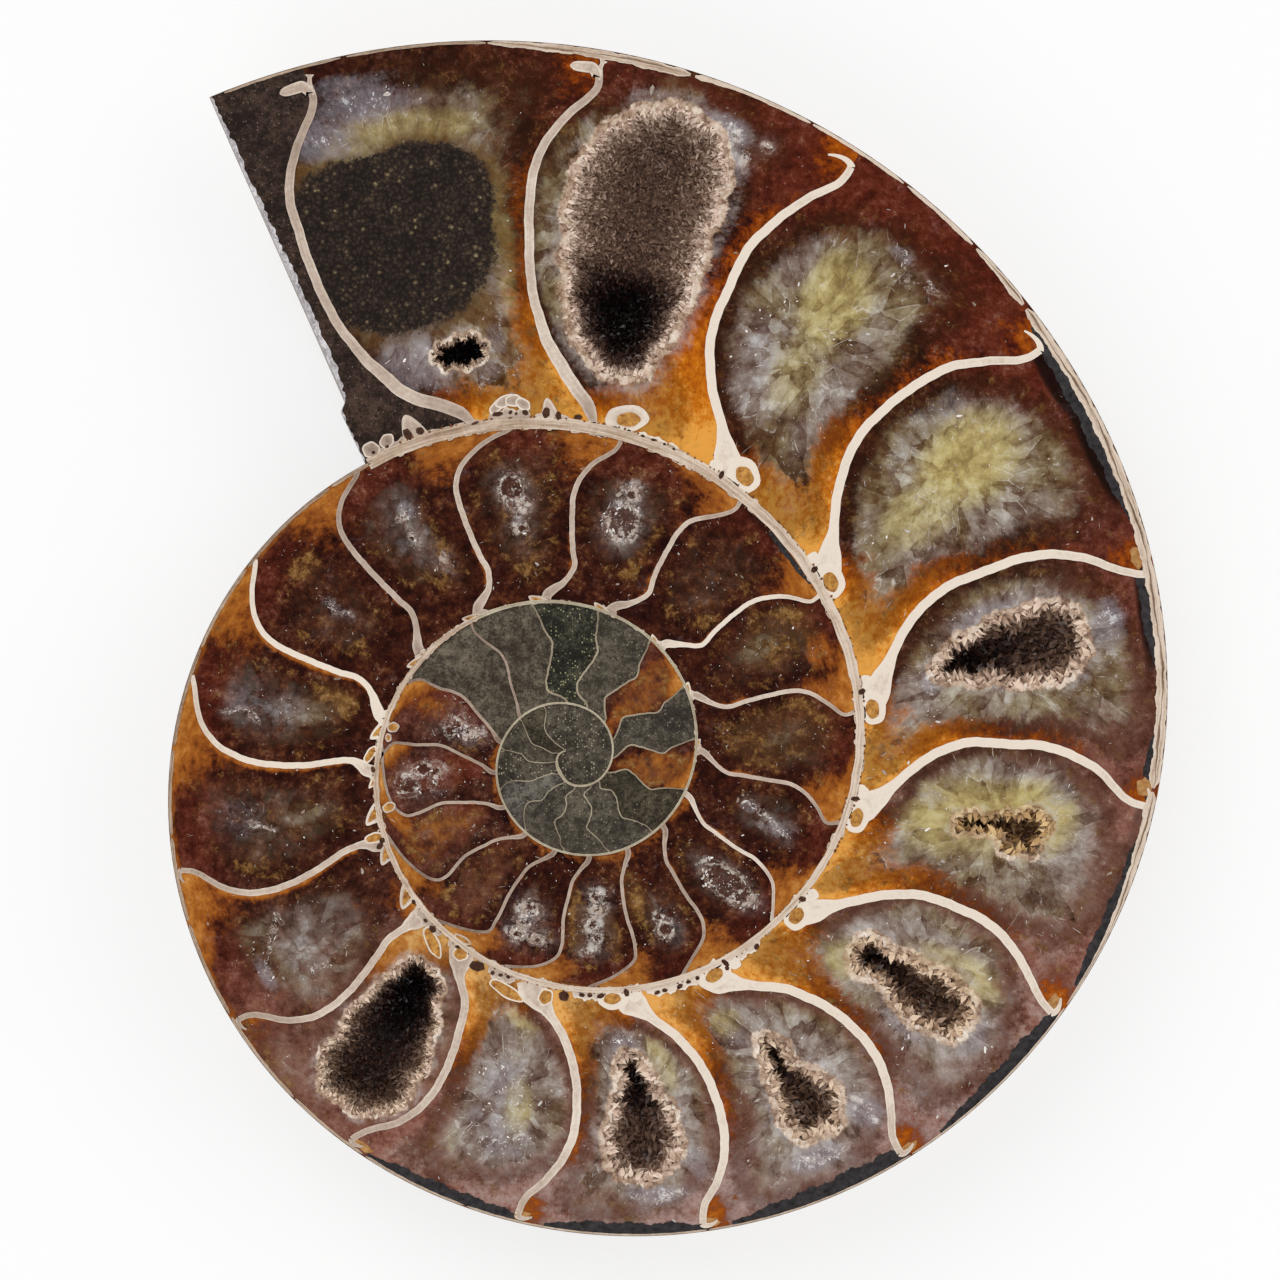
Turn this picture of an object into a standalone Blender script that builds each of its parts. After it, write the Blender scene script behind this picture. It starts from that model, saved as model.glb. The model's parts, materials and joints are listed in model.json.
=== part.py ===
"""Half of a sawn ammonite fossil, lying on its rounded back with the polished face up.

Metres, +Z up. The sawn face is level, the crest of the flank touches z = 0, and the box around the
fossil stands centred over the origin. Sizes below are in millimetres, and turns are in degrees: the
shell grows counter-clockwise seen from above, and one whorl is 360 degrees of turn.
"""

import math

import bmesh
import bpy
from mathutils import Matrix, Vector

MM = 0.001
WHORL = 360.0

# The face
HALF_THICKNESS = 15.0
MOUTH_TURN = 1554.1          # direction of the saw cut across the mouth
CUT_MISSES_CENTRE_BY = 5.2   # the straight cut across the mouth passes beside the centre
CUT_LEAN = 0.055             # the cut leans out this much for each millimetre of depth

# Distance from the centre to the outer side of the wall, at turns one eighth or a quarter apart
WALL = (
    (450, 5.25), (540, 6.55), (630, 8.6), (720, 11.7), (810, 14.5), (900, 17.6), (990, 21.0),
    (1080, 26.8), (1170, 31.0), (1215, 33.6), (1260, 36.5), (1305, 39.6), (1350, 43.3),
    (1395, 48.6), (1440, 54.6), (1485, 59.5), (1530, 65.6), (1575, 71.2),
)

# The flank, as shares of the wall's radius
SEAM = 0.22            # where a whorl meets the one inside it
SHOULDER = 0.30        # edge of the funnel-like middle, the umbilicus
CREST = 0.47           # thickest place, and where the next whorl starts to cover this one
SHOULDER_HEIGHT = 0.94  # share of the thickness at the shoulder
OGIVE = 1.8            # exponent of the flank's curve from crest to rim: 2 is an ellipse

# Half thickness along the growth: even over the last part, thinner before it
EVEN_FROM_TURN = 1345.0
LAST_COVERED_TURN = MOUTH_TURN - WHORL
YOUNG_THICKNESS = 0.64  # share of the full half thickness where the outer whorl begins to show

TURN_STEP = 4.0
INNER_ROWS = (0.0, 0.1, 0.31, 0.62, 1.0)                      # seam to where the next whorl covers
OUTER_ROWS = (0.19, 0.38, 0.56, 0.72, 0.85, 0.94, 0.984, 1.0)  # from there to the rim
INNERMOST_TURN = MOUTH_TURN - 3 * WHORL

# Crystal pockets open in the face: along and across the pocket, depth, place from the centre, heading
POCKETS = {
    "mouth_pocket": (24.0, 15.0, 9.5, (7.6, 47.6), 78.0),
    "right_pocket": (15.0, 6.2, 4.5, (42.3, 10.2), 8.0),
    "small_right_pocket": (6.4, 3.2, 2.4, (40.8, -6.6), -8.0),
    "lower_right_pocket": (10.8, 5.4, 4.0, (32.0, -20.0), -29.0),
    "lower_pocket": (9.6, 4.6, 3.6, (21.6, -30.0), -51.0),
    "bottom_pocket": (12.4, 5.8, 4.5, (7.6, -33.0), -74.0),
    "left_pocket": (14.2, 8.4, 6.5, (-17.4, -25.6), 50.0),
}
POCKET_CENTRE_ABOVE_FACE = 0.4

FOSSIL_COLOUR = (0.16, 0.06, 0.03, 1.0)  # red-brown calcite
POLISH_ROUGHNESS = 0.15
FLANK_SHARP_ANGLE = math.radians(40)


def clear_scene():
    for old in list(bpy.data.objects):
        bpy.data.objects.remove(old)


def wall_slopes(turns, logs):
    """Slope of the log radius at each station, from the stations on both sides of it."""
    slopes = [(logs[1] - logs[0]) / (turns[1] - turns[0])]
    for i in range(1, len(turns) - 1):
        before = turns[i] - turns[i - 1]
        after = turns[i + 1] - turns[i]
        slope_before = (logs[i] - logs[i - 1]) / before
        slope_after = (logs[i + 1] - logs[i]) / after
        slopes.append((slope_before * after + slope_after * before) / (before + after))
    slopes.append((logs[-1] - logs[-2]) / (turns[-1] - turns[-2]))
    return slopes


WALL_TURNS = [turn for turn, _ in WALL]
WALL_LOGS = [math.log(radius) for _, radius in WALL]
WALL_SLOPES = wall_slopes(WALL_TURNS, WALL_LOGS)


def wall_radius(turn):
    """Outer radius of the wall, in mm: a smooth growth curve through the stations of WALL."""
    i = 0
    while i < len(WALL_TURNS) - 2 and turn > WALL_TURNS[i + 1]:
        i += 1
    step = WALL_TURNS[i + 1] - WALL_TURNS[i]
    u = (turn - WALL_TURNS[i]) / step
    start = (2 * u**3 - 3 * u**2 + 1) * WALL_LOGS[i] + (u**3 - 2 * u**2 + u) * step * WALL_SLOPES[i]
    end = (3 * u**2 - 2 * u**3) * WALL_LOGS[i + 1] + (u**3 - u**2) * step * WALL_SLOPES[i + 1]
    return math.exp(start + end)


def smooth(u):
    u = min(1.0, max(0.0, u))
    return u * u * (3 - 2 * u)


def crest_thickness(turn):
    """Half thickness of the whorl at its crest, in mm."""
    if turn <= LAST_COVERED_TURN:
        return HALF_THICKNESS * YOUNG_THICKNESS * wall_radius(turn) / wall_radius(LAST_COVERED_TURN)
    grown = smooth((turn - LAST_COVERED_TURN) / (EVEN_FROM_TURN - LAST_COVERED_TURN))
    return HALF_THICKNESS * (YOUNG_THICKNESS + (1 - YOUNG_THICKNESS) * grown)


def flank_height(share):
    """Height of the flank over the median plane, as a share of the crest's, from shoulder to rim."""
    if share <= CREST:
        down = (CREST - share) / (CREST - SHOULDER)
        return 1 - (1 - SHOULDER_HEIGHT) * down * down
    out = (share - CREST) / (1 - CREST)
    return max(0.0, 1 - out**OGIVE) ** (1 / OGIVE)


def cut_lag(radius):
    """Degrees by which a line parallel to the mouth's saw cut trails a line from the centre."""
    return math.degrees(math.asin(CUT_MISSES_CENTRE_BY / max(radius, SEAM * wall_radius(MOUTH_TURN))))


def row_shares():
    """Shares of the wall's radius for each row of points, from seam to rim."""
    inner = [SEAM + u * (CREST - SEAM) for u in INNER_ROWS]
    outer = [CREST + u * (1 - CREST) for u in OUTER_ROWS]
    return inner + outer


SHARES = row_shares()
COVER_ROW = len(INNER_ROWS) - 1
RIM_ROW = len(SHARES) - 1


def flank_point(turn, row):
    """A point of the flank on the line that crosses it at this turn, in mm, with the face at z = 0."""
    share = SHARES[row]
    radius = share * wall_radius(turn)
    for _ in range(6):
        place = turn + cut_lag(radius)
        radius = share * wall_radius(place)
    if share >= SHOULDER:
        height = crest_thickness(turn) * flank_height(share)
    else:
        seam_height = crest_thickness(max(turn - WHORL, INNERMOST_TURN))
        up = smooth((share - SEAM) / (SHOULDER - SEAM))
        height = seam_height + up * (crest_thickness(turn) * SHOULDER_HEIGHT - seam_height)
    angle = math.radians(place)
    return Vector((radius * math.cos(angle), radius * math.sin(angle), -height))


def cut_normal():
    """Direction in which the mouth's saw cut faces, level and away from the shell."""
    angle = math.radians(MOUTH_TURN + 90)
    return Vector((math.cos(angle), math.sin(angle), 0))


def build_fossil_mesh():
    """One closed body: a spiral strip of flank, the sawn face, the cut across the mouth and a middle."""
    bm = bmesh.new()
    steps_per_whorl = round(WHORL / TURN_STEP)
    columns = 3 * steps_per_whorl
    first_full = columns - steps_per_whorl
    grid = {}
    for column in range(columns + 1):
        turn = INNERMOST_TURN + column * TURN_STEP
        last_row = RIM_ROW if column >= first_full else COVER_ROW
        for row in range(last_row + 1):
            if row == 0 and column >= steps_per_whorl:
                grid[column, 0] = grid[column - steps_per_whorl, COVER_ROW]
                continue
            point = flank_point(turn, row)
            on_cut = column == columns or (column == first_full and row >= COVER_ROW)
            if on_cut:
                point += cut_normal() * CUT_LEAN * -point.z
            grid[column, row] = bm.verts.new(point)
    for column in range(columns):
        last_row = RIM_ROW if column >= first_full else COVER_ROW
        for row in range(last_row):
            bm.faces.new((
                grid[column, row],
                grid[column + 1, row],
                grid[column + 1, row + 1],
                grid[column, row + 1],
            ))
    bm.faces.new([grid[column, RIM_ROW] for column in range(columns, first_full - 1, -1)])
    mouth = [grid[columns, row] for row in range(RIM_ROW, -1, -1)]
    mouth += [grid[first_full, row] for row in range(COVER_ROW + 1, RIM_ROW + 1)]
    bm.faces.new(mouth)
    middle = [grid[column, 0] for column in range(steps_per_whorl)]
    middle += [grid[0, row] for row in range(COVER_ROW, 0, -1)]
    apex = bm.verts.new((0, 0, min(v.co.z for v in middle)))
    for i, vertex in enumerate(middle):
        bm.faces.new((apex, vertex, middle[i - 1]))
    bmesh.ops.recalc_face_normals(bm, faces=bm.faces)
    return bm


def box_middle(bm):
    """Middle of the box around the mesh, seen from above."""
    xs = [v.co.x for v in bm.verts]
    ys = [v.co.y for v in bm.verts]
    return Vector(((min(xs) + max(xs)) / 2, (min(ys) + max(ys)) / 2, 0))


def fossil_material():
    material = bpy.data.materials.new("polished_calcite")
    material.use_nodes = True
    shader = material.node_tree.nodes["Principled BSDF"]
    shader.inputs["Base Color"].default_value = FOSSIL_COLOUR
    shader.inputs["Roughness"].default_value = POLISH_ROUGHNESS
    shader.inputs["Metallic"].default_value = 0.0
    return material


def add_object(name, bm):
    mesh = bpy.data.meshes.new(name)
    bm.to_mesh(mesh)
    bm.free()
    made = bpy.data.objects.new(name, mesh)
    bpy.context.scene.collection.objects.link(made)
    return made


def add_pocket_cutter(name, pocket, to_row):
    length, width, depth, (x, y), heading = pocket
    bm = bmesh.new()
    bmesh.ops.create_icosphere(bm, subdivisions=2, radius=1.0)
    size = Matrix.Diagonal((length / 2, width / 2, depth + POCKET_CENTRE_ABOVE_FACE, 1))
    turn = Matrix.Rotation(math.radians(heading), 4, "Z")
    place = Matrix.Translation((x, y, POCKET_CENTRE_ABOVE_FACE))
    bm.transform(to_row @ place @ turn @ size)
    cutter = add_object(name, bm)
    cutter.hide_render = True
    cutter.display_type = "WIRE"
    return cutter


def main():
    clear_scene()
    bm = build_fossil_mesh()
    to_row = Matrix.Scale(MM, 4) @ Matrix.Translation(Vector((0, 0, HALF_THICKNESS)) - box_middle(bm))
    bm.transform(to_row)
    fossil = add_object("ammonite_half", bm)
    fossil.data.materials.append(fossil_material())
    fossil.data.shade_smooth()
    fossil.data.set_sharp_from_angle(angle=FLANK_SHARP_ANGLE)
    for name, pocket in POCKETS.items():
        cut = fossil.modifiers.new(name, "BOOLEAN")
        cut.operation = "DIFFERENCE"
        cut.solver = "EXACT"
        cut.object = add_pocket_cutter(name + "_cutter", pocket, to_row)


main()
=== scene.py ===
"""Looks of the ammonite half: the polished face with its septa, calcite chambers and crystal
pockets, the sawn mouth, and the natural flank on the back. Lengths in the design part are in
millimetres from the spiral's centre, turns in degrees: the shell grows counter-clockwise."""

import json
import math

import bpy
import numpy as np
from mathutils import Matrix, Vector
from mathutils.geometry import delaunay_2d_cdt


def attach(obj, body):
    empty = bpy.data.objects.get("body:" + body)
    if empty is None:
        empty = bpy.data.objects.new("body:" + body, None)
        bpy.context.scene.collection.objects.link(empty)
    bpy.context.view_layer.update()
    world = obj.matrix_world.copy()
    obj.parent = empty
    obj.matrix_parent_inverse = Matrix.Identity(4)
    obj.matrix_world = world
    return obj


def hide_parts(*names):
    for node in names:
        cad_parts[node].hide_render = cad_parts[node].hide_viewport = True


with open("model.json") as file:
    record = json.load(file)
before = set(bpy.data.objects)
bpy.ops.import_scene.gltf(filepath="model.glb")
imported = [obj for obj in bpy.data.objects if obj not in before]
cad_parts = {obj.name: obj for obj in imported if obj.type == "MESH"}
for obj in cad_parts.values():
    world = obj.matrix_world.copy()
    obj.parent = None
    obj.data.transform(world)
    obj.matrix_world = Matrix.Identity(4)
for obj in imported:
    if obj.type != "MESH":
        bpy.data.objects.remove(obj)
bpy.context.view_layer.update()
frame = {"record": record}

MM = 0.001
WHORL = 360.0
CENTRE = np.array(frame["record"]["mounts"][0]["pos_m"])   # the spiral's centre, on the sawn face
THICKNESS = CENTRE[2] / MM

# Levels under the sawn face, in mm: the shell's lines are inlaid a little proud of the calcite
TOP, LEVEL_WALL, LEVEL_SEPTUM, LEVEL_BAND, LEVEL_FILL = -0.01, -0.06, -0.09, -0.13, -0.17
LEVEL_GLINT, LEVEL_CRACK, LEVEL_CHIP = LEVEL_FILL + 0.01, LEVEL_FILL + 0.012, LEVEL_FILL + 0.014
LEVEL_BOWL, LEVEL_CRYSTAL, LEVEL_RIM_ROW = LEVEL_FILL - 0.05, LEVEL_FILL - 0.02, LEVEL_FILL - 0.15
LEVEL_FIRST_CHAMBER, LEVEL_SAWN_MIDDLE = LEVEL_FILL - 0.004, LEVEL_FILL - 0.12
# How far the parts of a septum's foot stand over it, so that none lie in one plane
MOUND_LIFT, LOBE_LIFT, LOBE_CORE_LIFT, RING_LIFT = 0.006, 0.010, 0.012, 0.015
TOOTH_CORE_LIFT, RING_CORE_LIFT, HOLE_LIFT, LOBE_STEP = 0.02, 0.03, 0.035, 0.004
# The same for a septum's tip over its ribbon, and for what lies on the walls and the bands
TIP_LIFT, NECK_LIFT, PORE_LIFT, BEAD_LIFT, LAYER_LIFT, BLOCK_LIFT = 0.004, 0.002, 0.02, -0.015, 0.02, 0.01
INLAY_DEPTH = 0.25

# ---- design: the spiral and its septa ------------------------------------------------------------
# Outer radius of the shell wall at turns from the middle outwards
WALL = (
    (105, 0.9), (150, 1.03), (200, 1.15), (245, 1.55), (270, 2.15), (300, 2.8), (315, 3.15), (360, 4.05),
    (405, 4.8), (450, 5.25), (495, 5.85), (540, 6.55), (585, 7.4), (630, 8.6), (675, 10.15), (720, 11.7),
    (765, 13.2), (810, 14.5), (855, 16), (900, 17.6), (945, 19.1), (990, 21), (1035, 23.8), (1080, 26.8),
    (1125, 28.6), (1170, 30.9), (1215, 33.6), (1260, 36.5), (1305, 39.6), (1350, 43.3), (1395, 48.6),
    (1440, 54.6), (1485, 59.5), (1530, 65.6), (1575, 71.2),
)
MOUTH_TURN = 1554.1          # direction of the saw cut across the mouth
CUT_MISSES_CENTRE_BY = 5.2
CUT_LEAN = 0.055             # how far the cut slants in, for each mm below the face
CUT_FOOT_RADIUS, CUT_TOP_TURN = 33.0, 1558.0   # where the cut meets the whorl inside and the outer wall
FACET_ALLOWANCE = 0.04       # how far the looks stay inside the facets of the solid model

# Septa from the mouth inwards: turn at mid height, then degrees ahead of it at SEPTUM_LEVELS
SEPTUM_LEVELS = (0.04, 0.1, 0.2, 0.3, 0.6, 0.7, 0.8, 0.9, 0.97)
SEPTA = (
    (1557.6, -10.5, -5.1, -1.6, -0.1, -0.6, -1.4, -3.6, -6.4, -6.6),
    (1534.2, -7.9, -5.2, -1.7, -0.2, -0.4, -1.4, -3.7, -6.7, -6.7),
    (1511.1, -9.5, -7.1, -2.6, -0.2, -0.5, -2.1, -4.1, -6.4, -6.7),
    (1487.8, -11.5, -8.2, -3.2, -0.5, -0.8, -2, -4.3, -6.6, -6.9),
    (1464.3, -13.2, -8.2, -2.6, -0.3, -0.3, -1.3, -3.1, -5.5, -6.5),
    (1442, -11.5, -8, -2.5, 0, -0.3, -1.5, -3.3, -6, -6.6),
    (1419.2, -12, -8.7, -3.7, -0.9, -0.4, -1.7, -3.7, -5.9, -6.8),
    (1396.8, -13, -9.8, -3.8, -1.3, -0.5, -1.8, -3.8, -6, -6.6),
    (1373.6, -9, -6.6, -2.6, -0.6, -0.6, -1.8, -3.8, -6.6, -7.4),
    (1351.4, -10, -6.4, -2.4, -0.6, -0.6, -2.1, -4.4, -7.1, -7.7),
    (1328.5, -7, -5.5, -1.5, -0.5, -0.5, -1.7, -3.8, -7, -8.2),
    (1306.6, 0, -0.6, -1.6, -0.8, -0.4, -1.6, -4.1, -7.6, -8.4),
    (1284, 0, -1.5, -1.7, -0.7, -0.5, -1.7, -4, -7.2, -8.1),
    (1260.9, 2, -0.4, -0.6, 0.1, -0.6, -1.9, -3.9, -7.9, -12.9),
    (1238.9, 7.5, 3.1, -0.1, 0.1, -0.2, -0.9, -2.9, -6.9, -11),
    (1216.3, 7.5, 4.2, 0.5, 0.3, -0.3, -0.8, -2, -5.3, -9.7),
    (1193.3, 7.5, 2.7, -0.3, 0, -0.3, -1, -3.3, -8.3, -13.5),
    (1169, 7.8, 3, -0.8, -0.3, -0.2, -1.5, -4, -7.7, -8.5),
    (1144.6, 8.7, 3.9, -0.3, 0.2, -0.4, -1.9, -5.6, -8.2, -8.3),
    (1121.2, 8.6, 4.8, -0.4, 0, -0.5, -2.2, -4.7, -8, -8),
    (1097.7, 9, 4.8, 0.8, 0.6, -0.5, -2, -5.2, -8.4, -8.2),
    (1074.2, 9.5, 5.8, 1.4, 0.8, -0.3, -1.9, -4.7, -7.9, -7.2),
    (1052.3, 10.8, 7.2, 2.7, 1.5, -0.1, -1.3, -3.3, -7.5, -10.4),
    (1031, 13.2, 8.5, 3.5, 2, -0.3, -1.3, -4, -9.5, -12.5),
    (1010.4, 12.4, 8.6, 3.9, 1.9, -0.1, -0.7, -2.4, -8.9, -14.6),
    (988.3, 13, 8.7, 3.9, 2.2, 0, -0.3, -2.3, -8.3, -15.3),
    (966.2, 14.4, 9.8, 3.8, 1.8, 0, -0.4, -1.5, -9.2, -15),
    (943, 15.8, 11, 5.3, 2.8, 0.5, 0.7, -1.8, -11, -20),
    (918.8, 16.4, 11.2, 6.2, 3.4, 0.5, 0.7, -0.5, -7.9, -22),
    (893.4, 15.4, 11.1, 6.8, 3.9, 0.4, 0.9, 0.8, 1.6, 5.5), (869, 15, 11, 6.7, 4, 0.3, 1.7, 2, 2.5, 5),
    (842.5, 14, 10.5, 7, 4.5, -0.2, 1.5, 3, 3.5, 2.9),
    (818.5, -5.5, 5.5, 7.3, 4.5, -0.8, 1.5, 2.5, 3.5, 4.4),
    (795.5, -4, 4.5, 7.5, 5, -0.7, 1.5, 2, 2.5, 3),
    (772.3, -4.5, 1.7, 6.7, 4.2, -1.8, 0.7, 1.7, 2.4, 3.2), (750, -4, 1, 7.5, 5, -2, 0.5, 1, 1.8, 2.4),
    (725.8, -2, 3.2, 7.7, 5.2, -1.8, 1, 2.2, 3.2, 3.7), (702, 1, 4, 8.8, 6.5, -1.5, 1, 2.5, 3.3, 3.9),
    (675, 9, 4, 9.7, 8, -1.5, 2, 4, 5, 4.5), (649.5, 20, 7.5, 6, 7, -4, -1, 2, 3.2, 4.5),
    (623.5, 20, 13, 3.5, 4.5, -5.5, -3.5, 0.5, 1.5, 4.3), (596, 24, 17, 8, 3, -7, -9, -6, -1, 3),
    (568.5, 25, 14, 7, 4, -4, -7, -8, -7, -5), (540, 8, 8, 7, 5, -7, -8, -9, -9, -10),
    (515.5, -8, 0, 0, -1, -4, -8.5, -12, -15, -16), (488, -16, -9, -2, 0, -3, -8, -12, -14, -14),
)


def slopes_through(xs, ys):
    """Slope at each point of a smooth curve, from its neighbours on both sides."""
    steps = np.diff(xs)
    rises = np.diff(ys) / steps
    inner = (rises[:-1] * steps[1:] + rises[1:] * steps[:-1]) / (steps[:-1] + steps[1:])
    return np.concatenate([[rises[0]], inner, [rises[-1]]])


def smooth_curve(xs, ys):
    """A function that passes smoothly through the points."""
    xs, ys = np.array(xs, float), np.array(ys, float)
    slopes = slopes_through(xs, ys)

    def value(x):
        x = np.asarray(x, float)
        i = np.clip(np.searchsorted(xs, x) - 1, 0, len(xs) - 2)
        step = xs[i + 1] - xs[i]
        u = (x - xs[i]) / step
        start = (2 * u**3 - 3 * u**2 + 1) * ys[i] + (u**3 - 2 * u**2 + u) * step * slopes[i]
        return start + (3 * u**2 - 2 * u**3) * ys[i + 1] + (u**3 - u**2) * step * slopes[i + 1]
    return value


log_wall = smooth_curve([turn for turn, _ in WALL], [math.log(radius) for _, radius in WALL])


def wall(turn):
    """Outer radius of the wall, in mm."""
    return np.exp(log_wall(np.maximum(turn, WALL[0][0]))) - FACET_ALLOWANCE


def polar(radius, turn):
    """x and y of a point from its distance and direction from the spiral's centre."""
    angle = np.radians(turn)
    return radius * np.cos(angle), radius * np.sin(angle)


def circle(points):
    """Angles evenly spaced round a circle."""
    return np.linspace(0, 2 * math.pi, points, endpoint=False)


def travelled(x, y):
    """Distance along a line to each of its points."""
    return np.concatenate([[0], np.cumsum(np.hypot(np.diff(x), np.diff(y)))])


def turned(x, y, along, across, heading):
    """x and y of a point that lies along a heading, and across it to the left, from a place."""
    cos, sin = math.cos(heading), math.sin(heading)
    return x + along * cos - across * sin, y + along * sin + across * cos


def whorl_place(turn, height):
    """x and y of a point in the whorl: height 0 is its inner wall, 1 its outer wall."""
    inner = wall(np.asarray(turn) - WHORL)
    return polar(inner + (wall(turn) - inner) * height, turn)


def between(older, newer, u, height):
    """Turn of a point that lies a share u of the way from one curve across the whorl to the next."""
    return older(height) + (newer(height) - older(height)) * u


def septum_curve(row):
    """Turn of a septum at each height of the whorl."""
    leads = list(row[1:5]) + [0.0] + list(row[5:])
    levels = list(SEPTUM_LEVELS[:4]) + [0.5] + list(SEPTUM_LEVELS[4:])
    foot = leads[0] - (leads[1] - leads[0]) * 0.3
    tip = leads[-1] + (leads[-1] - leads[-2]) * 0.25
    lead = smooth_curve([0.0] + levels + [1.0], [foot] + leads + [tip])
    return lambda height: row[0] + lead(height)


def cut_turn(height):
    """Turn at which the mouth's saw cut crosses the last whorl."""
    radius = CUT_FOOT_RADIUS + (wall(CUT_TOP_TURN) - CUT_FOOT_RADIUS) * np.asarray(height, float)
    return MOUTH_TURN + np.degrees(np.arcsin(CUT_MISSES_CENTRE_BY / radius))


def smooth(u):
    """Rises from 0 to 1 as u does, level at both ends."""
    u = np.clip(u, 0.0, 1.0)
    return u * u * (3 - 2 * u)


# ---- meshes --------------------------------------------------------------------------------------
def add_piece(name, points, faces, material, attributes=None, flat=False):
    """A mesh piece from points in mm about the spiral's centre, z from the face, that rides the fossil."""
    mesh = bpy.data.meshes.new(name)
    placed = np.asarray(points, float) * MM + CENTRE
    mesh.from_pydata(placed.tolist(), [], faces)
    mesh.validate()
    mesh.update()
    for label, values in (attributes or {}).items():
        values = np.asarray(values, np.float32)
        kind, key = ("FLOAT", "value")
        if values.ndim == 2:
            kind, key = ("FLOAT_VECTOR", "vector") if values.shape[1] == 3 else ("FLOAT_COLOR", "color")
        mesh.attributes.new(label, kind, "POINT").data.foreach_set(key, values.ravel())
    if flat:
        mesh.shade_flat()
    else:
        mesh.shade_smooth()
    piece = bpy.data.objects.new(name, mesh)
    bpy.context.scene.collection.objects.link(piece)
    mesh.materials.append(material)
    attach(piece, "root")
    return piece


def grid_faces(rows, columns, closed=False, flip=False):
    """Quads of a grid whose points run along each row in turn."""
    faces = []
    for row in range(rows - 1):
        for column in range(columns if closed else columns - 1):
            after = (column + 1) % columns
            quad = (row * columns + column, row * columns + after,
                    (row + 1) * columns + after, (row + 1) * columns + column)
            faces.append(quad[::-1] if flip else quad)
    return faces


class Shapes:
    """Many small flat inlays gathered into one mesh, each closed below, with shared attributes."""

    def __init__(self):
        self.points, self.faces, self.across, self.along, self.tone = [], [], [], [], []

    def strip(self, x, y, half_left, half_right, level, tone=0.5):
        """A ribbon along a line, with its own width on each side."""
        x, y = np.asarray(x, float), np.asarray(y, float)
        dx, dy = np.gradient(x), np.gradient(y)
        length = np.hypot(dx, dy) + 1e-9
        nx, ny = -dy / length, dx / length
        n = len(x)
        along = travelled(x, y)
        start = len(self.points)
        left = x + nx * half_left, y + ny * half_left
        right = x - nx * half_right, y - ny * half_right
        low, high = np.full(n, level - INLAY_DEPTH), np.full(n, level)
        corners = np.array([(*left, low), (*left, high), (*right, high), (*right, low)])
        self.points += corners.transpose(2, 0, 1).reshape(-1, 3).tolist()
        self.across += [-1, -1, 1, 1] * n
        self.along += np.repeat(along, 4).tolist()
        self.tone += np.repeat(np.broadcast_to(tone, n), 4).tolist()
        for i in range(n - 1):
            a, b = start + 4 * i, start + 4 * i + 4
            for k in range(4):
                self.faces.append((a + k, b + k, b + (k + 1) % 4, a + (k + 1) % 4)[::-1])
        self.faces.append((start, start + 1, start + 2, start + 3)[::-1])
        last = start + 4 * (n - 1)
        self.faces.append((last, last + 1, last + 2, last + 3))

    def blob(self, x, y, level, tone=0.5):
        """A filled outline, counter-clockwise, closed below."""
        n, start = len(x), len(self.points)
        middle, low = (float(np.mean(x)), float(np.mean(y))), level - INLAY_DEPTH
        edge = [(float(a), float(b)) for a, b in zip(x, y)]
        self.points += [(*middle, level)] + [(*place, level) for place in edge]
        self.points += [(*place, low) for place in edge] + [(*middle, low)]
        self.across += [0] + [1] * (2 * n) + [0]
        self.along += [0] * (2 * n + 2)
        self.tone += [tone] * (2 * n + 2)
        for i in range(n):
            j = (i + 1) % n
            self.faces.append((start, start + 1 + i, start + 1 + j))
            self.faces.append((start + 1 + i, start + 1 + n + i, start + 1 + n + j, start + 1 + j))
            self.faces.append((start + 2 * n + 1, start + 1 + n + j, start + 1 + n + i))

    def finish(self, name, material, slot):
        attributes = {"across": self.across, "along": self.along, "tone": self.tone}
        return add_piece(name, self.points, self.faces, material, attributes, flat=True)


def oval(turn, height, along, outwards, tilt=0.0, points=24, wobble=0.0):
    """Outline of an oval in the whorl, its half sizes in mm along the wall and outwards."""
    angles = circle(points)
    bumps = 1 + wobble * np.sin(angles * 2 + turn) + 0.6 * wobble * np.sin(angles * 5 + turn * 3)
    a, b = along * np.cos(angles) * bumps, outwards * np.sin(angles) * bumps
    return turned(*whorl_place(turn, height), a, b, math.radians(turn + 90 + tilt))


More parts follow.
